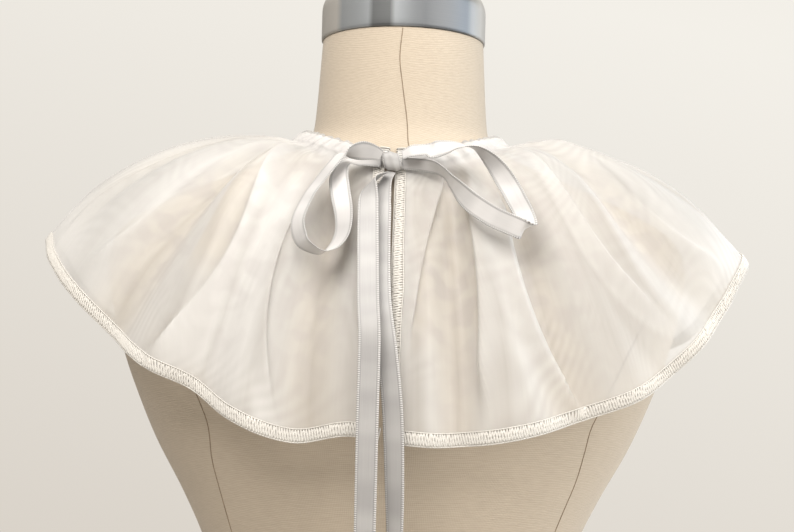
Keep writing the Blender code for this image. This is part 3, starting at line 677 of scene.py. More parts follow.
@functools.lru_cache(maxsize=None)
def drape_curve(angle):
    """The four control points of the ruffle's arch at one angle."""
    root, hem = ruffle_root(angle), hem_point(angle)
    shoulder = side_share(angle)
    flat = Vector((hem.x - root.x, hem.y - root.y, 0.0))
    out = flat.normalized()
    spread = smooth(back_turn(angle) / ARCH_FULL_FROM)
    leave = root + out * (ARCH_LEAVE * flat.length - ARCH_TUCK + ARCH_FULLER * spread)
    leave.z += -ARCH_LEAVE_DROP + ARCH_FULLER * spread + ARCH_SHOULDER_LIFT * shoulder
    arrive_share = ARCH_ARRIVE + ARCH_ARRIVE_SHOULDER * shoulder
    arrive = hem - out * (arrive_share * flat.length - ARCH_TUCK)
    arrive.z += ARCH_ARRIVE_LIFT - ARCH_ARRIVE_FALL * shoulder
    return root, leave, arrive, hem


def drape(angle, down):
    """The ruffle without its folds: an arch from the casing to the hem."""
    root, leave, arrive, hem = drape_curve(angle)
    t, s = down, 1.0 - down
    return root * s**3 + leave * (3 * t * s * s) + arrive * (3 * t * t * s) + hem * t**3


def crest_angle(crest, down):
    """The angle of a fold at one share of the way down, through its three named angles."""
    neck, middle, hem = crest
    return (neck * (1 - down) * (1 - 2 * down) + middle * 4 * down * (1 - down)
            + hem * down * (2 * down - 1))


def fold_height(angle, down):
    """How far the folds lift the cloth at one place."""
    total = 0.0
    rise_middle, rise_hem = smooth(2.0 * down), smooth(2.0 * down - 1.0)
    for fold in FOLDS:
        offset = turned(angle - crest_angle(fold[:3], down))
        reach = FOLD_SPREAD * (fold.before if offset < 0 else fold.after)
        if abs(offset) >= reach:
            continue
        height = fold.middle_height * rise_middle
        height += (fold.hem_height - fold.middle_height) * rise_hem
        total += height * (0.5 + 0.5 * math.cos(math.pi * offset / reach))
    return total


def crease_height(angle, down):
    """The finer creases that are listed."""
    total = 0.0
    for crease in CREASES:
        along = (down - crease.start) / (crease.end - crease.start)
        if not 0.0 < along < 1.0:
            continue
        middle = crease.angle + (crease.end_angle - crease.angle) * along
        offset = turned(angle - middle) / crease.half_width
        if abs(offset) < BELL_END:
            total += crease.height * math.exp(-offset * offset) * math.sin(math.pi * along) ** 0.7
    return total


def make_gathers():
    """Uneven gathers that run down from the casing: angle, lean, reach, width and height."""
    draw = random.Random(GATHER_DRAW)
    rows = []
    for i in range(GATHERS):
        angle = collar_angle(i + draw.uniform(0.25, 0.75), GATHERS)
        reach = draw.choice(GATHER_REACHES) * draw.uniform(0.8, 1.2)
        height = draw.uniform(*GATHER_HEIGHTS) * smooth((back_turn(angle) - 4.0) / 14.0)
        lean = draw.uniform(*GATHER_LEANS)
        rows.append((angle, lean, reach, draw.uniform(*GATHER_WIDTHS), height))
    return rows


GATHER_ROWS = make_gathers()


def gather_height(angle, down):
    """The uneven gathers at one place."""
    total = 0.0
    for centre, lean, reach, width, height in GATHER_ROWS:
        offset = turned(angle - centre - lean * down)
        spread = width * (1.0 + GATHER_OPENS * down)
        if abs(offset) < BELL_END * spread:
            total += height * math.exp(-(offset / spread) ** 2) * math.exp(-(down / reach) ** 2)
    return total


def roll_offset(angle, down, degree):
    """How far the rolled folds lift the cloth, and how far they push it round."""
    lift = push = 0.0
    for roll in ROLLS:
        along = (down - roll.start) / (roll.end - roll.start)
        if not 0.0 < along < 1.0:
            continue
        offset = turned(angle - crest_angle(roll[:3], down)) * degree / roll.half_width
        if abs(offset) < BELL_END:
            ends = smooth(along / ROLL_EASE) * smooth((1 - along) / ROLL_EASE)
            share = math.exp(-offset * offset) * ends
            lift += roll.height * share
            push += roll.lean * share
    return lift, push


def cloth_frame(angle, down, step=0.4):
    """A point of the plain ruffle, the way round it for one degree, and the way it faces."""
    here = drape(angle, down)
    around = (drape(angle + step, down) - drape(angle - step, down)) / (2.0 * step)
    below = drape(angle, min(1.0, down + 0.02)) - drape(angle, max(0.0, down - 0.02))
    outward = around.cross(below).normalized()
    if outward.dot(Vector((here.x, here.y, 0.02))) < 0.0:
        outward.negate()
    return here, around, outward


def over_casing(angle, down):
    """A point of the cloth that lies over the casing's outer face; down is 0 at its foot."""
    high, outward, slope = casing_frame(angle)
    full = casing_thickness(angle) + PUCKER * gather_wave(angle)
    share = max(0.0, 1.0 + down / OVER_CASING * OVER_CASING_SHARE)
    crown = OVER_CASING_CROWN * smooth(1.0 - share / OVER_CASING_ROUND) * full
    lift = SEAM_GAP * 3.0 + full - crown
    return high + outward * lift + slope * (share * CASING_DEPTH)


def leaned(angle, down):
    """The left panel hangs a little towards the right one, the more the further down."""
    near = smooth((angle - EDGE_LEAN_FROM) / (EDGE_LEFT - EDGE_LEAN_FROM))
    return angle + EDGE_LEAN * max(0.0, down) * near


def shoulder_puff(angle, down):
    """How far the gathers puff the cloth up over the shoulders."""
    share = down / PUFF_DOWN
    return SHOULDER_PUFF * side_share(angle) * share * math.exp(1.0 - share)


def ruffle_point(angle, down):
    """A point of the ruffle, with all that lifts it off its plain arch."""
    if down <= 0.0:
        return over_casing(angle, down)
    angle = leaned(angle, down)
    here, around, outward = cloth_frame(angle, down)
    rolled, push = roll_offset(angle, down, around.length)
    lift = fold_height(angle, down) + ROOT_WAVE * gather_wave(angle) * math.exp(-down / ROOT_FADE)
    lift += crease_height(angle, down) + gather_height(angle, down) + rolled
    lift += shoulder_puff(angle, down)
    point = here + outward * lift + around.normalized() * push
    if down < ROOT_BLEND:
        point = point.lerp(over_casing(angle, 0.0), 1.0 - smooth(down / ROOT_BLEND))
    return point


class Value:
    """A value on its way through a material. Arithmetic on it adds Math nodes."""

    def __init__(self, nodes, socket):
        self.nodes = nodes
        self.socket = socket

    def math(self, operation, first, second=0.0):
        return self.nodes.node("ShaderNodeMath", {"operation": operation}, {0: first, 1: second})

    def __add__(self, other):
        return self.math("ADD", self, other)

    def __radd__(self, other):
        return self.math("ADD", other, self)

    def __sub__(self, other):
        return self.math("SUBTRACT", self, other)

    def __rsub__(self, other):
        return self.math("SUBTRACT", other, self)

    def __mul__(self, other):
        return self.math("MULTIPLY", self, other)

    def __rmul__(self, other):
        return self.math("MULTIPLY", other, self)

    def sine(self):
        """From -1 to 1 and back as the value grows by one turn."""
        return self.math("SINE", self)

    def size(self):
        """The value without its sign."""
        return self.math("ABSOLUTE", self)

    def between(self, low, high):
        """0 at the low value and below, 1 at the high value and above."""
        return self.nodes.node("ShaderNodeMapRange", {"clamp": True},
                               {"Value": self, "From Min": low, "From Max": high})


class Nodes:
    """The nodes of one material or of the room, with short ways to add them."""

    def __init__(self, tree):
        self.tree = tree

    def node(self, kind, settings=None, values=None, out=0):
        """Add a node: its settings come first, then the values or links of its sockets."""
        made = self.tree.nodes.new(kind)
        for name, value in (settings or {}).items():
            setattr(made, name, value)
        for key, value in (values or {}).items():
            if isinstance(value, Value):
                self.tree.links.new(value.socket, made.inputs[key])
            else:
                made.inputs[key].default_value = value
        return Value(self, made.outputs[out])

    def place(self):
        """Where a point lies, in metres."""
        return self.node("ShaderNodeTexCoord", out="Object")

    def cloth_place(self):
        """Where a point lies on the cloth, in metres along and across."""
        return self.node("ShaderNodeUVMap", {"uv_map": "cloth"})

    def parts(self, vector):
        """The three numbers of a vector."""
        split = self.node("ShaderNodeSeparateXYZ", None, {0: vector})
        return [Value(self, out) for out in split.socket.node.outputs]

    def measure(self, name):
        """A number that the mesh carries at each corner."""
        return self.node("ShaderNodeAttribute", {"attribute_name": name}, out="Fac")

    def noise(self, vector, scale, detail=2.0, roughness=0.5):
        """Soft cloudy variation from 0 to 1."""
        return self.node("ShaderNodeTexNoise", None, {
            "Vector": vector, "Scale": scale, "Detail": detail, "Roughness": roughness})

    def pattern(self, along, across, detail=2.0, roughness=0.5):
        """Soft variation on the cloth itself, so many patches to a metre each way."""
        place = self.node("ShaderNodeVectorMath", {"operation": "MULTIPLY"},
                          {0: self.cloth_place(), 1: (along, across, 1.0)})
        return self.noise(place, 1.0, detail, roughness)

    def mix(self, first, second, share):
        """A colour between two colours."""
        ends = [end if isinstance(end, Value) else (*end, 1.0) for end in (first, second)]
        return self.node("ShaderNodeMix", {"data_type": "RGBA"},
                         {0: share, 6: ends[0], 7: ends[1]}, 2)


class Finish(Nodes):
    """One procedural material."""

    def __init__(self, name, **plain):
        self.material = bpy.data.materials.new(name)
        self.material.use_nodes = True
        super().__init__(self.material.node_tree)
        self.shader = self.tree.nodes["Principled BSDF"]
        for key, value in plain.items():
            socket = key.replace("_", " ").title().replace("Ior", "IOR")
            self.shader.inputs[socket].default_value = value

    def feed(self, name, value):
        """Link a value to one of the shader's own sockets."""
        self.tree.links.new(value.socket, self.shader.inputs[name])

    def bump(self, height, strength, distance=BUMP_DEPTH):
        """Raise the surface by a height."""
        self.feed("Normal", self.node("ShaderNodeBump", None, {
            "Height": height, "Strength": strength, "Distance": distance}))


def lit(tones, light):
    """The same colours, each a share as bright: lighter and darker copies of one finish, which
    paint light and shade.
    """
    return [tuple(part * light for part in tone) for tone in tones]


def linen_finish():
    """Natural linen: rows of thread with uneven slubs, over a soft cloudy tone."""
    finish = Finish("linen", roughness=0.88, sheen_weight=0.15, specular_ior_level=0.25)
    around, up, _ = finish.parts(finish.cloth_place())
    wander = finish.pattern(60.0, 60.0, 1.0) * LINEN_WANDER
    rows = ((up + wander) * (TURN / LINEN_WEFT)).sine()
    threads = ((around + wander) * (TURN / LINEN_WARP)).sine()
    weave = rows * 0.26 + threads * 0.18 + 0.5
    slubs = finish.pattern(120.0, 950.0)
    grain = finish.pattern(700.0, 900.0, 1.0)
    cloud = finish.noise(finish.place(), 9.0, 3.0)
    tone = finish.mix(*LINEN_TONES, weave * 0.46 + slubs * 0.52 + cloud * 0.25 - 0.11)
    specks = slubs.between(0.66, 0.80) * grain.between(0.45, 0.75)
    finish.feed("Base Color", finish.mix(tone, LINEN_SPECKS, specks * 0.55))
    finish.bump(weave + slubs * 0.8, 0.25)
    return finish.material


def steel_finish():
    """Spun steel: fine turned lines round the cap, over painted reflections in darker and paler
    tones.
    """
    finish = Finish("brushed_steel", metallic=0.5, anisotropic=0.4)
    around, _, _ = finish.parts(finish.cloth_place())
    lines = finish.pattern(3.0, 4200.0)
    # Painted reflections: soft vertical clouds, a dark band, a dim grey patch and the pale flanks.
    reflection_clouds = finish.pattern(60.0, 4.0, 1.0)
    band = (around + CAP_DARK_REFLECTION).size().between(0.0090, 0.0055)
    patch = (around - CAP_DIM_REFLECTION).size().between(0.034, 0.016)
    flank = around.size().between(CAP_PALE_REFLECTION - CAP_PALE_REFLECTION_BLUR, CAP_PALE_REFLECTION + CAP_PALE_REFLECTION_BLUR)
    base = finish.mix(*STEEL_TONES, reflection_clouds)
    base = finish.mix(base, STEEL_DARK_REFLECTION, band * 0.90)
    base = finish.mix(base, STEEL_PALE_REFLECTION, flank)
    base = finish.mix(base, STEEL_DIM_REFLECTION, patch * 0.9)
    finish.feed("Base Color", finish.mix(base, STEEL_LINES, lines * 0.2))
    finish.feed("Roughness", lines * 0.10 + 0.34)
    finish.bump(lines, 0.08, 0.5 * BUMP_DEPTH)
    return finish.material


def organza_finish(name, thin, light=1.0):
    """Sheer organza: its threads, where it lies dense, the watered look of its layers, painted
    shade in its hollows and a painted highlight on its white panels.
    """
    finish = Finish(name, roughness=0.55, sheen_weight=0.35, sheen_roughness=0.4,
                    specular_ior_level=0.35)
    rings = (finish.pattern(9.0, 4.0, 1.2, 0.45) * RING_WAVES).sine()
    ripples = (finish.pattern(6.0, 8.0, 1.0, 0.4) * RIPPLE_WAVES).sine()
    patches = finish.noise(finish.place(), 12.0, 1.0)
    watered = rings * patches.between(0.52, 0.66) + ripples * patches.between(0.50, 0.36)
    watered = watered * 0.5 + 0.5
    streaks = finish.pattern(420.0, 22.0)
    density_and_highlight, hollow_shade, near = (finish.measure(key) for key in ("density_and_highlight", "hollow_shade", "near"))
    spots = finish.noise(finish.place(), 95.0, 1.0, 0.3).between(0.42, 0.62) * near
    # Denser cloth is paler. Where it is gathered or doubled this is real; on the white panels it is
    # also a painted highlight.
    tone = finish.mix(*lit(ORGANZA_TONES, light), density_and_highlight * 0.6 + streaks * 0.12 + watered * 0.16)
    # Painted shade, warm, in the hollows between the folds and on the warm panels.
    tone = finish.mix(tone, ORGANZA_HOLLOW_SHADE, hollow_shade * 0.50)
    finish.feed("Base Color", finish.mix(tone, ORGANZA_SPOTS, spots * 0.45))
    alpha = thin + density_and_highlight * (1.0 - thin) + (watered - 0.5) * 0.04
    alpha = alpha + (streaks - 0.5) * 0.03 - hollow_shade * 0.02
    finish.feed("Alpha", finish.node("ShaderNodeClamp", None, {"Value": alpha}))
    finish.bump(streaks, 0.10)
    return finish.material


def satin_finish(name, light):
    """Satin ribbon: long smooth floats, painted bands of sheen across it, and a dotted woven edge
    on each side with a painted groove shade inside it.
    """
    finish = Finish(name, sheen_weight=0.15, specular_ior_level=0.4, anisotropic=0.5)
    along, across, _ = finish.parts(finish.cloth_place())
    edge = across.size().between(0.0048, 0.0052)
    # A darker line just inside each edge, painted as the shade of a groove.
    groove_shade = across.size().between(0.0043, 0.0047) * (1.0 - edge)
    dots = (along * (TURN / PICOT_PITCH)).sine() * 0.5 + 0.5
    floats = finish.pattern(30.0, 2600.0)
    # Painted highlight: soft bands of sheen across the ribbon.
    painted_sheen_bands = finish.pattern(52.0, 6.0, 1.0).between(0.38, 0.64)
    body = finish.mix(*lit(SATIN_TONES, light), floats * 0.5 + painted_sheen_bands * 0.5)
    tone = finish.mix(body, finish.mix(*SATIN_EDGE_TONES, dots), edge)
    finish.feed("Base Color", finish.mix(tone, SATIN_GROOVE_SHADE, groove_shade * 0.7))
    finish.feed("Roughness", edge * 0.30 + floats * 0.10 + 0.36)
    finish.bump(edge * dots * 1.2 + floats * 0.15, 0.35)
    return finish.material


def speckled_finish(name, roughness, tones, scale, detail=1.0, sheen=0.0):
    """A plain finish whose tone varies softly: the thread, the seams and the floor."""
    finish = Finish(name, roughness=roughness, sheen_weight=sheen)
    finish.feed("Base Color", finish.mix(*tones, finish.noise(finish.place(), scale, detail)))
    return finish.material


def mesh_from(name, points, faces, places=None, measures=None):
    """A mesh, with a place on the cloth for each face corner and named numbers for each point."""
    mesh = bpy.data.meshes.new(name)
    mesh.from_pydata([tuple(p) for p in points], [], faces)
    if places is not None:
        layer = mesh.uv_layers.new(name="cloth")
        flat = [value for face in places for place in face for value in place]
        layer.data.foreach_set("uv", flat)
    for key, values in (measures or {}).items():
        layer = mesh.attributes.new(key, "FLOAT", "POINT")
        layer.data.foreach_set("value", values)
    mesh.shade_smooth()
    return mesh


def closed_mesh(name, points, faces, places, rows):
    """A mesh of closed rings, with a face across its first ring and its last one."""
    first = tuple(range(0, len(points), rows))
    last = tuple(reversed(range(rows - 1, len(points), rows)))
    places = places + [[(points[k].x, points[k].y) for k in ring] for ring in (first, last)]
    return mesh_from(name, points, faces + [first, last], places)


def add_piece(name, mesh, material, replaces=()):
    """Put a piece in the scene, on the one body, in place of the solids it stands for."""
    mesh.materials.append(material)
    thing = bpy.data.objects.new(name, mesh)
    bpy.context.scene.collection.objects.link(thing)
    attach(thing, "root")
    if replaces:
        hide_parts(*replaces)
    return thing


def grid_faces(columns, rows, closed=False):
    """Faces of a grid whose points run down each column in turn."""
    faces = []
    for i in range(columns if closed else columns - 1):
        k = (i + 1) % columns
        for j in range(rows - 1):
            faces.append((i * rows + j, i * rows + j + 1, k * rows + j + 1, k * rows + j))
    return faces


def grid_places(columns, rows, place):
    """The place on the cloth of each corner of a grid's faces."""
    return [(place(i, j), place(i, j + 1), place(i + 1, j + 1), place(i + 1, j))
            for i in range(columns - 1) for j in range(rows - 1)]


class Threads:
    """Many short threads gathered in one mesh."""

    def __init__(self):
        self.points = []
        self.faces = []

    def lay(self, path, radius, sides=5, lift=None):
        """Add a thread along a path, with closed ends."""
        first = len(self.points)
        side = lift
        for i, point in enumerate(path):
            ahead = (path[min(i + 1, len(path) - 1)] - path[max(i - 1, 0)]).normalized()
            if side is None or abs(side.dot(ahead)) > 0.95:
                side = ahead.orthogonal()
            side = (side - ahead * side.dot(ahead)).normalized()
            other = ahead.cross(side)
            for k in range(sides):
                turn = TURN * k / sides
                self.points.append(point + side * (radius * math.cos(turn))
                                   + other * (radius * math.sin(turn)))
        for i in range(len(path) - 1):
            for k in range(sides):
                a, b = first + i * sides + k, first + i * sides + (k + 1) % sides
                self.faces.append((a, b, b + sides, a + sides))
        last = first + (len(path) - 1) * sides
        self.faces.append(tuple(first + k for k in reversed(range(sides))))
        self.faces.append(tuple(last + k for k in range(sides)))

    def piece(self, name, material, slot):
        """Make the threads one piece."""
        return add_piece(name, mesh_from(name, self.points, self.faces), material)


def add_wall(ribbon, offset):
    """Give a ribbon its thickness, to one side or to both."""
    wall = ribbon.modifiers.new("wall", "SOLIDIFY")
    wall.thickness = RIBBON_WALL
    wall.offset = offset


def even_run(points, step):
    """Places along a line of points at equal steps: an index with its share to the next."""
    run = [0.0]
    for low, high in zip(points, points[1:]):
        run.append(run[-1] + (high - low).length)
    count = max(1, round(run[-1] / step))
    places = []
    for i in range(count + 1):
        goal = run[-1] * i / count
        k = max(1, min(len(run) - 1, bisect.bisect_left(run, goal)))
        places.append(k - 1 + (goal - run[k - 1]) / max(1e-9, run[k] - run[k - 1]))
    return places


def form_weave(angle, height):
    """Where a point of the form lies on its linen, whose rows lean up to the neck."""
    turn = math.radians(angle)
    root, less, torso = WEAVE_LEANS
    neck = smooth((height - WEAVE_RISES_FROM) / 0.03)
    calm = smooth((height - WEAVE_CALM_FROM) / 0.05)
    lean = neck * (root - less * calm) + torso * (1.0 - neck)
    around = turn * (WEAVE_NECK if height > WEAVE_NECK_FROM else WEAVE_TORSO)
    return around, height - lean * abs(turn) * WEAVE_LEAN


def make_form(linen):
    """The dress form's linen cover. Gives back its surface, to measure from."""
    rows = [FORM_RINGS[0].height]
    while rows[-1] < FORM_RINGS[-1].height - 1.4 * FORM_ROW:
        rows.append(rows[-1] + FORM_ROW)
    rows = FORM_FOOT + rows[2:] + [FORM_RINGS[-1].height]
    angles = [-180.0 + 360.0 * i / FORM_SIDES for i in range(FORM_SIDES + 1)]
    points = [form_smooth(height, angle) for angle in angles[:-1] for height in rows]
    faces = grid_faces(FORM_SIDES, len(rows), closed=True)
    places = grid_places(len(angles), len(rows), lambda i, j: form_weave(angles[i], rows[j]))
    mesh = closed_mesh("linen_form", points, faces, places, len(rows))
    mesh.set_sharp_from_angle(angle=math.radians(FORM_CORNER))
    add_piece("linen_form", mesh, linen, ("form_body",))
    return BVHTree.FromPolygons([tuple(p) for p in points], faces)


def make_form_seams(seam):
    """The seams of the linen cover: six down the torso, one on the neck and one on each side."""
    threads = Threads()
    lines = [NECK_SEAM, BACK_SEAM, FRONT_SEAM, PRINCESS_BACK_RIGHT, PRINCESS_BACK_LEFT]
    for line in (SIDE_SEAM, PRINCESS_FRONT):
        lines += [line, tuple((height, -angle) for height, angle in line)]
    for line in lines:
        keyed = sorted(line)
        low, high = keyed[0][0], keyed[-1][0]
        count = int((high - low) / SEAM_STEP)
        heights = [low + (high - low) * i / count for i in range(count + 1)]
        threads.lay([form_smooth(height, spline(keyed, height, (1,))[0]) for height in heights],
                    SEAM_THREAD)
    threads.piece("form_seams", seam, "linen")


def cap_profile():
    """The cap's outline from its tip to its mouth: a radius and a height at each point."""
    top = CAP_BASE + CAP_HEIGHT
    flat = CAP_RADIUS - CAP_EDGE_ROUND
    profile = [(CAP_TIP, top)]
    for i in range(1, 9):
        share = i / 8.0
        profile.append((flat * share, top - CAP_CROWN * share ** 2))
    for i in range(1, 13):
        turn = math.radians(90.0 * i / 12)
        drop = CAP_EDGE_ROUND * (1 - math.cos(turn))
        profile.append((flat + CAP_EDGE_ROUND * math.sin(turn), top - CAP_CROWN - drop))
    low = CAP_BASE + 2.0 * CAP_BEAD
    high = top - CAP_CROWN - CAP_EDGE_ROUND
    for i in range(1, 6):
        profile.append((CAP_RADIUS, high + (low - high) * i / 5.0))
    for i in range(1, 7):
        turn = math.radians(CAP_BEAD_TURN * i / 6)
        profile.append((CAP_RADIUS - CAP_BEAD + CAP_BEAD * math.cos(turn),
                        CAP_BASE + CAP_BEAD - CAP_BEAD * math.sin(turn)))
    profile.append((CAP_MOUTH, CAP_BASE + 0.0004))
    return profile


def make_cap(steel):
    """The spun cap: a crowned top, a rounded edge and a rolled lower rim."""
    profile = cap_profile()
    run = [0.0]
    for (r0, z0), (r1, z1) in zip(profile, profile[1:]):
        run.append(run[-1] + math.hypot(r1 - r0, z1 - z0))
    points = []
    for i in range(CAP_SIDES):
        turn = TURN * i / CAP_SIDES - math.pi
        points += [Vector((r * math.sin(turn), -r * math.cos(turn), z)) for r, z in profile]
    faces = grid_faces(CAP_SIDES, len(run), closed=True)
    places = grid_places(CAP_SIDES + 1, len(run), lambda i, j: (
        TURN * CAP_RADIUS * (i / CAP_SIDES - 0.5), run[j]))
    mesh = closed_mesh("spun_cap", points, faces, places, len(run))
    add_piece("spun_cap", mesh, steel, ("neck_cap",))


def casing_ring(angle):
    """Points round the casing at one angle, from its stitched lower edge up and over."""
    high, outward, down = casing_frame(angle)
    thick = casing_thickness(angle)
    wave = gather_wave(angle)
    fine = PUCKER_FINE * math.sin(math.radians(angle * PUCKER_FINE_WAVES)) * abs(wave) ** 0.5
    pucker = PUCKER * (wave + fine)
    ring = []
    for k in range(CASING_ROUND):
        turn = math.radians(CASING_FIRST_TURN + CASING_SWEEP * k / (CASING_ROUND - 1))
        out = 0.5 + 0.5 * squared(math.cos(turn), CASING_SQUARE)
        along = 0.5 + 0.5 * squared(math.sin(turn), CASING_SQUARE)
        lift = CASING_LIFT + out * (thick + pucker)
        frill = FRILL_LOW * pucker * (1.0 - along) ** 3 - FRILL_TOP * pucker * along ** 3
        ring.append(high + outward * lift + down * (along * CASING_DEPTH - frill))
    return ring


def make_casing(organza):
    """The gathered casing round the neck, a folded strip open at the middle of the back."""
    count = GATHERS * CASING_COLUMNS
    angles = [collar_angle(i, count) for i in range(count + 1)]
    points = [point for angle in angles for point in casing_ring(angle)]
    faces = grid_faces(len(angles), CASING_ROUND)
    places = grid_places(len(angles), CASING_ROUND, lambda i, j: (
        CASING_CLOTH[0] * angles[i], CASING_CLOTH[1] * j))
    measures = {"density_and_highlight": [CASING_DENSITY] * len(points)}
    mesh = mesh_from("gathered_casing", points, faces, places, measures)
    return add_piece("gathered_casing", mesh, organza, ("neck_casing",))


def ruffle_rows():
    """How far down the rows of the ruffle lie: closer together near the gathers."""
    rows = [-OVER_CASING * (1.0 - i / 6.0) for i in range(6)]
    rows += [HEM_DOWN * (i / (RUFFLE_ROWS - 4)) ** 1.2 for i in range(RUFFLE_ROWS - 3)]
    return rows + [HEM_DOWN + (1.0 - HEM_DOWN) * share for share in (0.35, 0.7, 1.0)]


def panel_share(panels, angle, down):
    """How much of a panel shows at one place of the cloth."""
    share = 0.0
    for panel in panels:
        low, high = crest_angle(panel.low, down), crest_angle(panel.high, down)
        inside = min(smooth(angle - low + 0.5), smooth((high - angle) / PANEL_SIDE + 0.5))
        ends = smooth((down - panel.start) / PANEL_ENDS[0])
        ends *= smooth((panel.end - down) / PANEL_ENDS[1])
        share = max(share, panel.share * inside * ends)
    return share


def ruffle_density(angle, down):
    """How dense the cloth looks: gathered at the neck, and steep on the flanks of folds, with a
    painted highlight added on the white panels.
    """
    if down > HEM_DOWN + 0.001:
        return HEM_DENSITY
    down = max(0.0, down)
    slope = (fold_height(angle + 0.8, down) - fold_height(angle - 0.8, down)) / 1.6
    gathered = GATHER_DENSITY * math.exp(-down / GATHER_FADE) + 0.10 * math.exp(-down / 0.5)
    edge = min(angle - EDGE_RIGHT, EDGE_LEFT - angle)
    width = math.degrees(HEM_BAND / (0.072 + 0.062 * down))
    selvedge = EDGE_DENSITY * smooth(width + 0.5 - edge)
    flank = min(FLANK_DENSITY, abs(slope) * FLANK_STEEP)
    # White panels: cloth lying double, with a painted highlight on their bright crests.
    white = flank + panel_share(DOUBLE_AND_HIGHLIGHT_PANELS, turned(angle), down)
    aside = back_turn(angle)
    tip = smooth((aside - TIP_FROM) / 18.0) * smooth((TIP_TO - aside) / 20.0)
    tip *= TIP_DENSITY * smooth((down - TIP_DOWN) / 0.22)
    return min(1.0, gathered + white + tip + selvedge)


def ruffle_hollow(angle, down):
    """How deep the cloth lies between its folds, where it takes the linen's warm tone showing
    through, and painted shade.
    """
    down = max(0.0, down)
    depth = -fold_height(angle, down) - 0.6 * roll_offset(angle, down, DEGREE_LENGTH)[0]
    plain = 1.0 - min(1.0, panel_share(DOUBLE_AND_HIGHLIGHT_PANELS[:1], turned(angle), down) / 0.3)
    deep = smooth((depth + HOLLOW_FROM) / HOLLOW_DEPTH) * smooth(down / HOLLOW_DOWN) * plain
    return max(deep, panel_share(WARM_SHADE_PANELS, turned(angle), down))


def make_ruffle(organza, form):
    """The ruffle: one sheer strip, gathered along its top and falling in soft folds."""
    count = GATHERS * RUFFLE_COLUMNS
    angles = [collar_angle(i, count) for i in range(count + 1)]
    downs = ruffle_rows()
    spots = [(angle, down) for angle in angles for down in downs]
    points = [ruffle_point(*spot) for spot in spots]
    measures = {"density_and_highlight": [ruffle_density(*spot) for spot in spots],
                "hollow_shade": [ruffle_hollow(*spot) for spot in spots],
                "near": [smooth(1.3 - form.find_nearest(point)[3] / NEAR_FORM) for point in points]}
    faces = grid_faces(len(angles), len(downs))
    places = grid_places(len(angles), len(downs), lambda i, j: (
        RUFFLE_CLOTH * angles[i], RUFFLE_DEPTH * downs[j]))
    mesh = mesh_from("sheer_ruffle", points, faces, places, measures)
    ruffle = add_piece("sheer_ruffle", mesh, organza, ("ruffle",))
    return ruffle, BVHTree.FromPolygons([tuple(p) for p in points], faces)


def stitch_over(threads, inner, edge, facing, shift):
    """One overlock stitch: up from the needle line, over the edge, back behind and up again."""
    front, back = ([inner + (edge - inner) * share + facing * (lift * STITCH_THREAD) + shift * lean
                    for share, lift, lean in path] for path in (STITCH_FRONT, STITCH_BACK))
    threads.lay(front, STITCH_THREAD, 5, facing)
    threads.lay(back, STITCH_THREAD * 0.85, 4, facing)


def overlock(threads, place, start, end):
    """Overlock stitches along an edge. place gives the needle line's and the edge's points."""
    line = [start + (end - start) * i / EDGE_SAMPLES for i in range(EDGE_SAMPLES + 1)]
    edges = [place(at)[1] for at in line]
    needle_line, looper_line = [], []
    draw = random.Random(len(threads.points) + STITCH_DRAW)
    for at in even_run(edges, STITCH_PITCH):
        i = min(EDGE_SAMPLES - 1, int(at))
        where = line[i] + (line[i + 1] - line[i]) * (at - i)
        inner, edge, facing = place(where)
        along = (edges[i + 1] - edges[i]).normalized()
        uneven = draw.uniform(-STITCH_UNEVEN, STITCH_UNEVEN)
        stitch_over(threads, inner, edge + (edge - inner) * (STITCH_RAGGED * uneven), facing,
                    along * (STITCH_LEAN * STITCH_PITCH * (1.0 + uneven)))
        needle_line.append(inner + facing * STITCH_THREAD * NEEDLE_LIFT)
        looper_line.append(edge + (edge - inner).normalized() * STITCH_THREAD * LOOPER_OUT)
    threads.lay(needle_line, STITCH_THREAD * 0.55, 4)
    threads.lay(looper_line, STITCH_THREAD * 0.75, 4)


def hem_place(angle):
    """The needle line and the edge of the hem at one angle."""
    return ruffle_point(angle, HEM_DOWN), ruffle_point(angle, 1.0), cloth_frame(angle, 1.0)[2]


def edge_place(edge_angle, inwards, down):
    """The needle line and the edge of one side of the opening, at one share of the way down."""
    edge = ruffle_point(edge_angle, down)
    beside = ruffle_point(edge_angle + inwards, down)
    inner = ruffle_point(edge_angle + inwards * HEM_BAND / (beside - edge).length, down)
    return inner, edge, cloth_frame(edge_angle, down)[2]


def casing_stitches(threads):
    """The running stitches that close the casing, and the overlocked ends."""
    for i in range(RUNNING_STITCHES):
        angle = collar_angle(i + 0.5, RUNNING_STITCHES)
        path = []
        for step in (-0.75, 0.0, 0.75):
            high, outward, down = casing_frame(angle + step)
            lift = CASING_LIFT + casing_thickness(angle) + PUCKER * gather_wave(angle)
            path.append(high + outward * (lift + 0.0001) + down * (RUNNING_DOWN * CASING_DEPTH))
        threads.lay(path, RUNNING_THREAD, 4)
    for end, inwards in OPENING_SIDES:
        for i in range(END_STITCHES):
            along = 0.08 + 0.84 * i / (END_STITCHES - 1)
            path = []
            for turn, lift in END_PATH:
                high, outward, down = casing_frame(end + inwards * turn)
                path.append(high + outward * (SEAM_GAP * 2 + lift * CASING_FLAT_END)
                            + down * (along * CASING_DEPTH))
            threads.lay(path, END_THREAD, 5)


def make_stitches(thread):
    """Every stitch of the collar: the hem, the two sides of the opening and the casing."""
    hem, sides, casing = Threads(), Threads(), Threads()
    overlock(hem, hem_place, EDGE_RIGHT, EDGE_LEFT)
    hem_piece = hem.piece("hem_stitches", thread, "organza")
    for edge_angle, inwards in OPENING_SIDES:
        overlock(sides, functools.partial(edge_place, edge_angle, inwards), 0.02, 0.995)
    side_piece = sides.piece("opening_stitches", thread, "organza")
    casing_stitches(casing)
    casing_piece = casing.piece("casing_stitches", thread, "organza")
    return hem_piece, side_piece, casing_piece


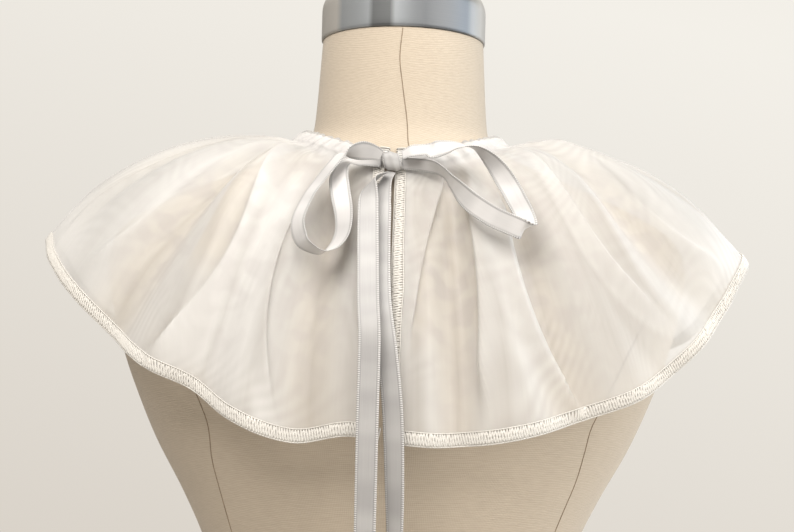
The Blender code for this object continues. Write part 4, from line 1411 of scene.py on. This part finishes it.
def make_knot(satin):
    """The knot of the bow: ribbon wrapped once round the bow's middle, softly pleated."""
    high, outward, down = casing_frame(0.0)
    face = (high + outward * (SEAM_GAP * 2 + casing_thickness(0.0))
            + down * 0.5 * CASING_DEPTH)
    width, depth, tall = KNOT_SIZE
    centre = Vector((KNOT_CENTRE[0], face.y - SEAM_GAP - 0.5 * depth - KNOT_OFF, KNOT_CENTRE[1]))
    across = [-1.0 + 2.0 * j / KNOT_ACROSS for j in range(KNOT_ACROSS + 1)]
    points = []
    for i in range(KNOT_ROUND):
        turn = TURN * i / KNOT_ROUND
        for share in across:
            full = 1.0 - 0.30 * share ** 2 - 0.10 * share ** 8
            pleat = KNOT_PLEAT * math.sin(6.5 * share + 1.3 * math.sin(turn) + 0.6)
            full += pleat * (1.0 - share ** 2)
            points.append(centre + Vector((
                0.47 * width * share - KNOT_SKEW * math.sin(turn),
                -0.5 * depth * full * squared(math.cos(turn), KNOT_SQUARE),
                0.5 * tall * full * squared(math.sin(turn), KNOT_SQUARE))))
    places = grid_places(KNOT_ROUND + 1, len(across), lambda i, j: (
        KNOT_TURN_LENGTH * i, 0.5 * RIBBON_WIDTH * across[j]))
    mesh = mesh_from("tied_knot", points, grid_faces(KNOT_ROUND, len(across), closed=True), places)
    knot = add_piece("tied_knot", mesh, satin, ("ribbon_knot",))
    add_wall(knot, -1.0)


def ribbon_row(rows, at):
    """One place along a ribbon: its middle, the direction of its width and its width."""
    x, y, z, *across, width = spline(rows, at, (1, 2, 3, 4, 5, 6, 7))
    return Vector((x, y, z)), Vector(across).normalized(), width * RIBBON_WIDTH


def keyed_rows(rows):
    """A ribbon's rows as numbered places with the direction of its width."""
    keyed = []
    for i, row in enumerate(RibbonRow(*row) for row in rows):
        lean, turn = math.radians(row.lean), math.radians(row.turn)
        across = (math.cos(turn) * math.cos(lean), -math.sin(turn), math.cos(turn) * math.sin(lean))
        keyed.append((i, row.x, row.y, row.z, *across, row.width))
    return keyed


def clear_of_cloth(cloth, middles, sides, widths, clearance, reach):
    """How far back a ribbon moves, just far enough to clear the ruffle it lies on."""
    shifts = []
    for middle, side, width in zip(middles, sides, widths):
        need = 0.0
        for share in (-1.0, -0.5, 0.0, 0.5, 1.0):
            point = middle + side * (0.5 * width * share)
            hit = cloth.ray_cast(Vector((point.x, -1.0, point.z)), Vector((0.0, 1.0, 0.0)), 2.0)[0]
            if hit is not None and hit.y > point.y - 0.05:
                need = max(need, point.y - (hit.y - clearance))
        shifts.append(need)
    eased = [max(shifts[max(0, i - reach):i + reach + 1]) for i in range(len(shifts))]
    calm = []
    for i in range(len(eased)):
        near = eased[max(0, i - reach):i + reach + 1]
        calm.append(sum(near) / len(near))
    return calm


def ribbon_points(middles, sides, widths, slant):
    """The rows of points along a ribbon, and how far along it each row lies."""
    points, run = [], [0.0]
    for i, (middle, side, width) in enumerate(zip(middles, sides, widths)):
        low, high = middles[max(i - 1, 0)], middles[min(i + 1, len(middles) - 1)]
        ahead = (high - low).normalized()
        across = (side - ahead * side.dot(ahead)).normalized()
        if i > 0:
            run.append(run[-1] + (middle - low).length)
        picot = PICOT_SIZE * math.sin(TURN * run[-1] / PICOT_PITCH)
        corner = slant if i == len(middles) - 1 else 0.0
        for share in RIBBON_ACROSS:
            reach = 0.5 * width * share
            if abs(share) == 1.0:
                reach += math.copysign(picot, share)
            points.append(middle + across * reach + ahead * (corner * share))
    return points, run


def make_ribbon(name, cloth, satin):
    """One flat ribbon with its woven edges, from its rows of the table."""
    rows = keyed_rows(RIBBONS[name])
    fine = [(len(rows) - 1) * i / RIBBON_SAMPLES for i in range(RIBBON_SAMPLES + 1)]
    line = [ribbon_row(rows, at)[0] for at in fine]
    ats = [fine[-1] * place / RIBBON_SAMPLES for place in even_run(line, RIBBON_STEP)]
    middles, sides, widths = zip(*(ribbon_row(rows, at) for at in ats))
    reach = max(2, round(RIBBON_CALM / RIBBON_STEP))
    shifts = clear_of_cloth(cloth, middles, sides, widths, RIBBON_CLEAR[name], reach)
    middles = [m + Vector((0.0, -shift, 0.0)) for m, shift in zip(middles, shifts)]
    points, run = ribbon_points(middles, sides, widths, TAIL_SLANT if "tail" in name else 0.0)
    faces = grid_faces(len(run), len(RIBBON_ACROSS))
    places = grid_places(len(run), len(RIBBON_ACROSS), lambda i, j: (
        run[i], 0.5 * RIBBON_WIDTH * RIBBON_ACROSS[j]))
    ribbon = add_piece(name + "_satin", mesh_from(name + "_satin", points, faces, places), satin,
                       (name,))
    add_wall(ribbon, 0.0)
    return ribbon


def make_room():
    """The pale wall, a little darker low down on the left, and its soft light."""
    world = bpy.data.worlds.new("room")
    world.use_nodes = True
    room = Nodes(world.node_tree)
    wall = room.tree.nodes["Background"]
    sideways, _, upwards = room.parts(room.node("ShaderNodeTexCoord", out="Generated"))
    share = (upwards * 1.5 + sideways * 0.45 + 0.55).between(0.0, 1.0)
    seen = room.node("ShaderNodeLightPath", out="Is Camera Ray")
    given = upwards.between(-0.9, 0.9) * (ROOM_LIGHT * 1.3) + ROOM_LIGHT * 0.35
    strength = seen * (1.0 - given) + given
    room.tree.links.new(room.mix(WALL_LOW, WALL_HIGH, share).socket, wall.inputs["Color"])
    room.tree.links.new(strength.socket, wall.inputs["Strength"])
    bpy.context.scene.world = world


def make_floor(material):
    """A pale round floor."""
    shape = bmesh.new()
    bmesh.ops.create_circle(shape, cap_ends=True, segments=FLOOR_SIDES, radius=FLOOR_RADIUS)
    mesh = bpy.data.meshes.new("floor")
    shape.to_mesh(mesh)
    shape.free()
    mesh.materials.append(material)
    floor = bpy.data.objects.new("floor", mesh)
    bpy.context.scene.collection.objects.link(floor)


def make_lamps():
    """The soft lamps, each turned to its aim."""
    for lamp in LAMPS:
        light = bpy.data.lights.new(lamp.name, "AREA")
        light.size = lamp.size
        light.energy = lamp.power
        light.color = lamp.colour
        thing = bpy.data.objects.new(lamp.name, light)
        thing.location = lamp.place
        aim = Vector(lamp.aim) - Vector(lamp.place)
        thing.rotation_euler = aim.to_track_quat("-Z", "Y").to_euler()
        thing.visible_camera = False
        bpy.context.scene.collection.objects.link(thing)


def place_camera():
    """The camera of the photograph."""
    camera = bpy.data.objects.new("camera", bpy.data.cameras.new("camera"))
    camera.data.lens = CAMERA_LENS
    camera.data.sensor_width = CAMERA_SENSOR
    camera.matrix_world = (Matrix.Translation(CAMERA_PLACE)
                           @ Matrix.Rotation(math.radians(90.0 + CAMERA_PITCH), 4, "X")
                           @ Matrix.Rotation(math.radians(CAMERA_ROLL), 4, "Z"))
    bpy.context.scene.collection.objects.link(camera)
    bpy.context.scene.camera = camera


def declare_cloth(ruffle, ribbons):
    """Go through the ribbons, without changing anything."""
    for name, ribbon in ribbons.items():
        "hung" if "tail" in name else "folded"


def main():
    """Dress the whole part."""
    bpy.context.scene.view_settings.view_transform = "Standard"
    make_floor(speckled_finish("pale_floor", 0.8, FLOOR_TONES, 3.0, 2.0))
    make_lamps()
    make_room()
    place_camera()
    form = make_form(linen_finish())
    make_form_seams(speckled_finish("linen_seam", 0.9, SEAM_TONES, 520.0))
    make_cap(steel_finish())
    # The casing's organza is a darker copy of the ruffle's: painted shade.
    casing = make_casing(organza_finish("shaded_casing_organza", 0.62, 0.76))
    ruffle, cloth = make_ruffle(organza_finish("organza", 0.50), form)
    stitches = make_stitches(speckled_finish("white_thread", 0.7, THREAD_TONES, 900.0, sheen=0.2))
    # The loops' satin is a brighter copy, and the knot's and tails' a darker copy, of one ribbon:
    # painted light and painted shade.
    satin, tail_satin = satin_finish("satin", 1.10), satin_finish("tail_satin", 0.73)
    make_knot(tail_satin)
    ribbons = {name: make_ribbon(name, cloth, tail_satin if "tail" in name else satin)
               for name in RIBBONS}
    declare_cloth(ruffle, ribbons)


main()
bpy.context.view_layer.update()
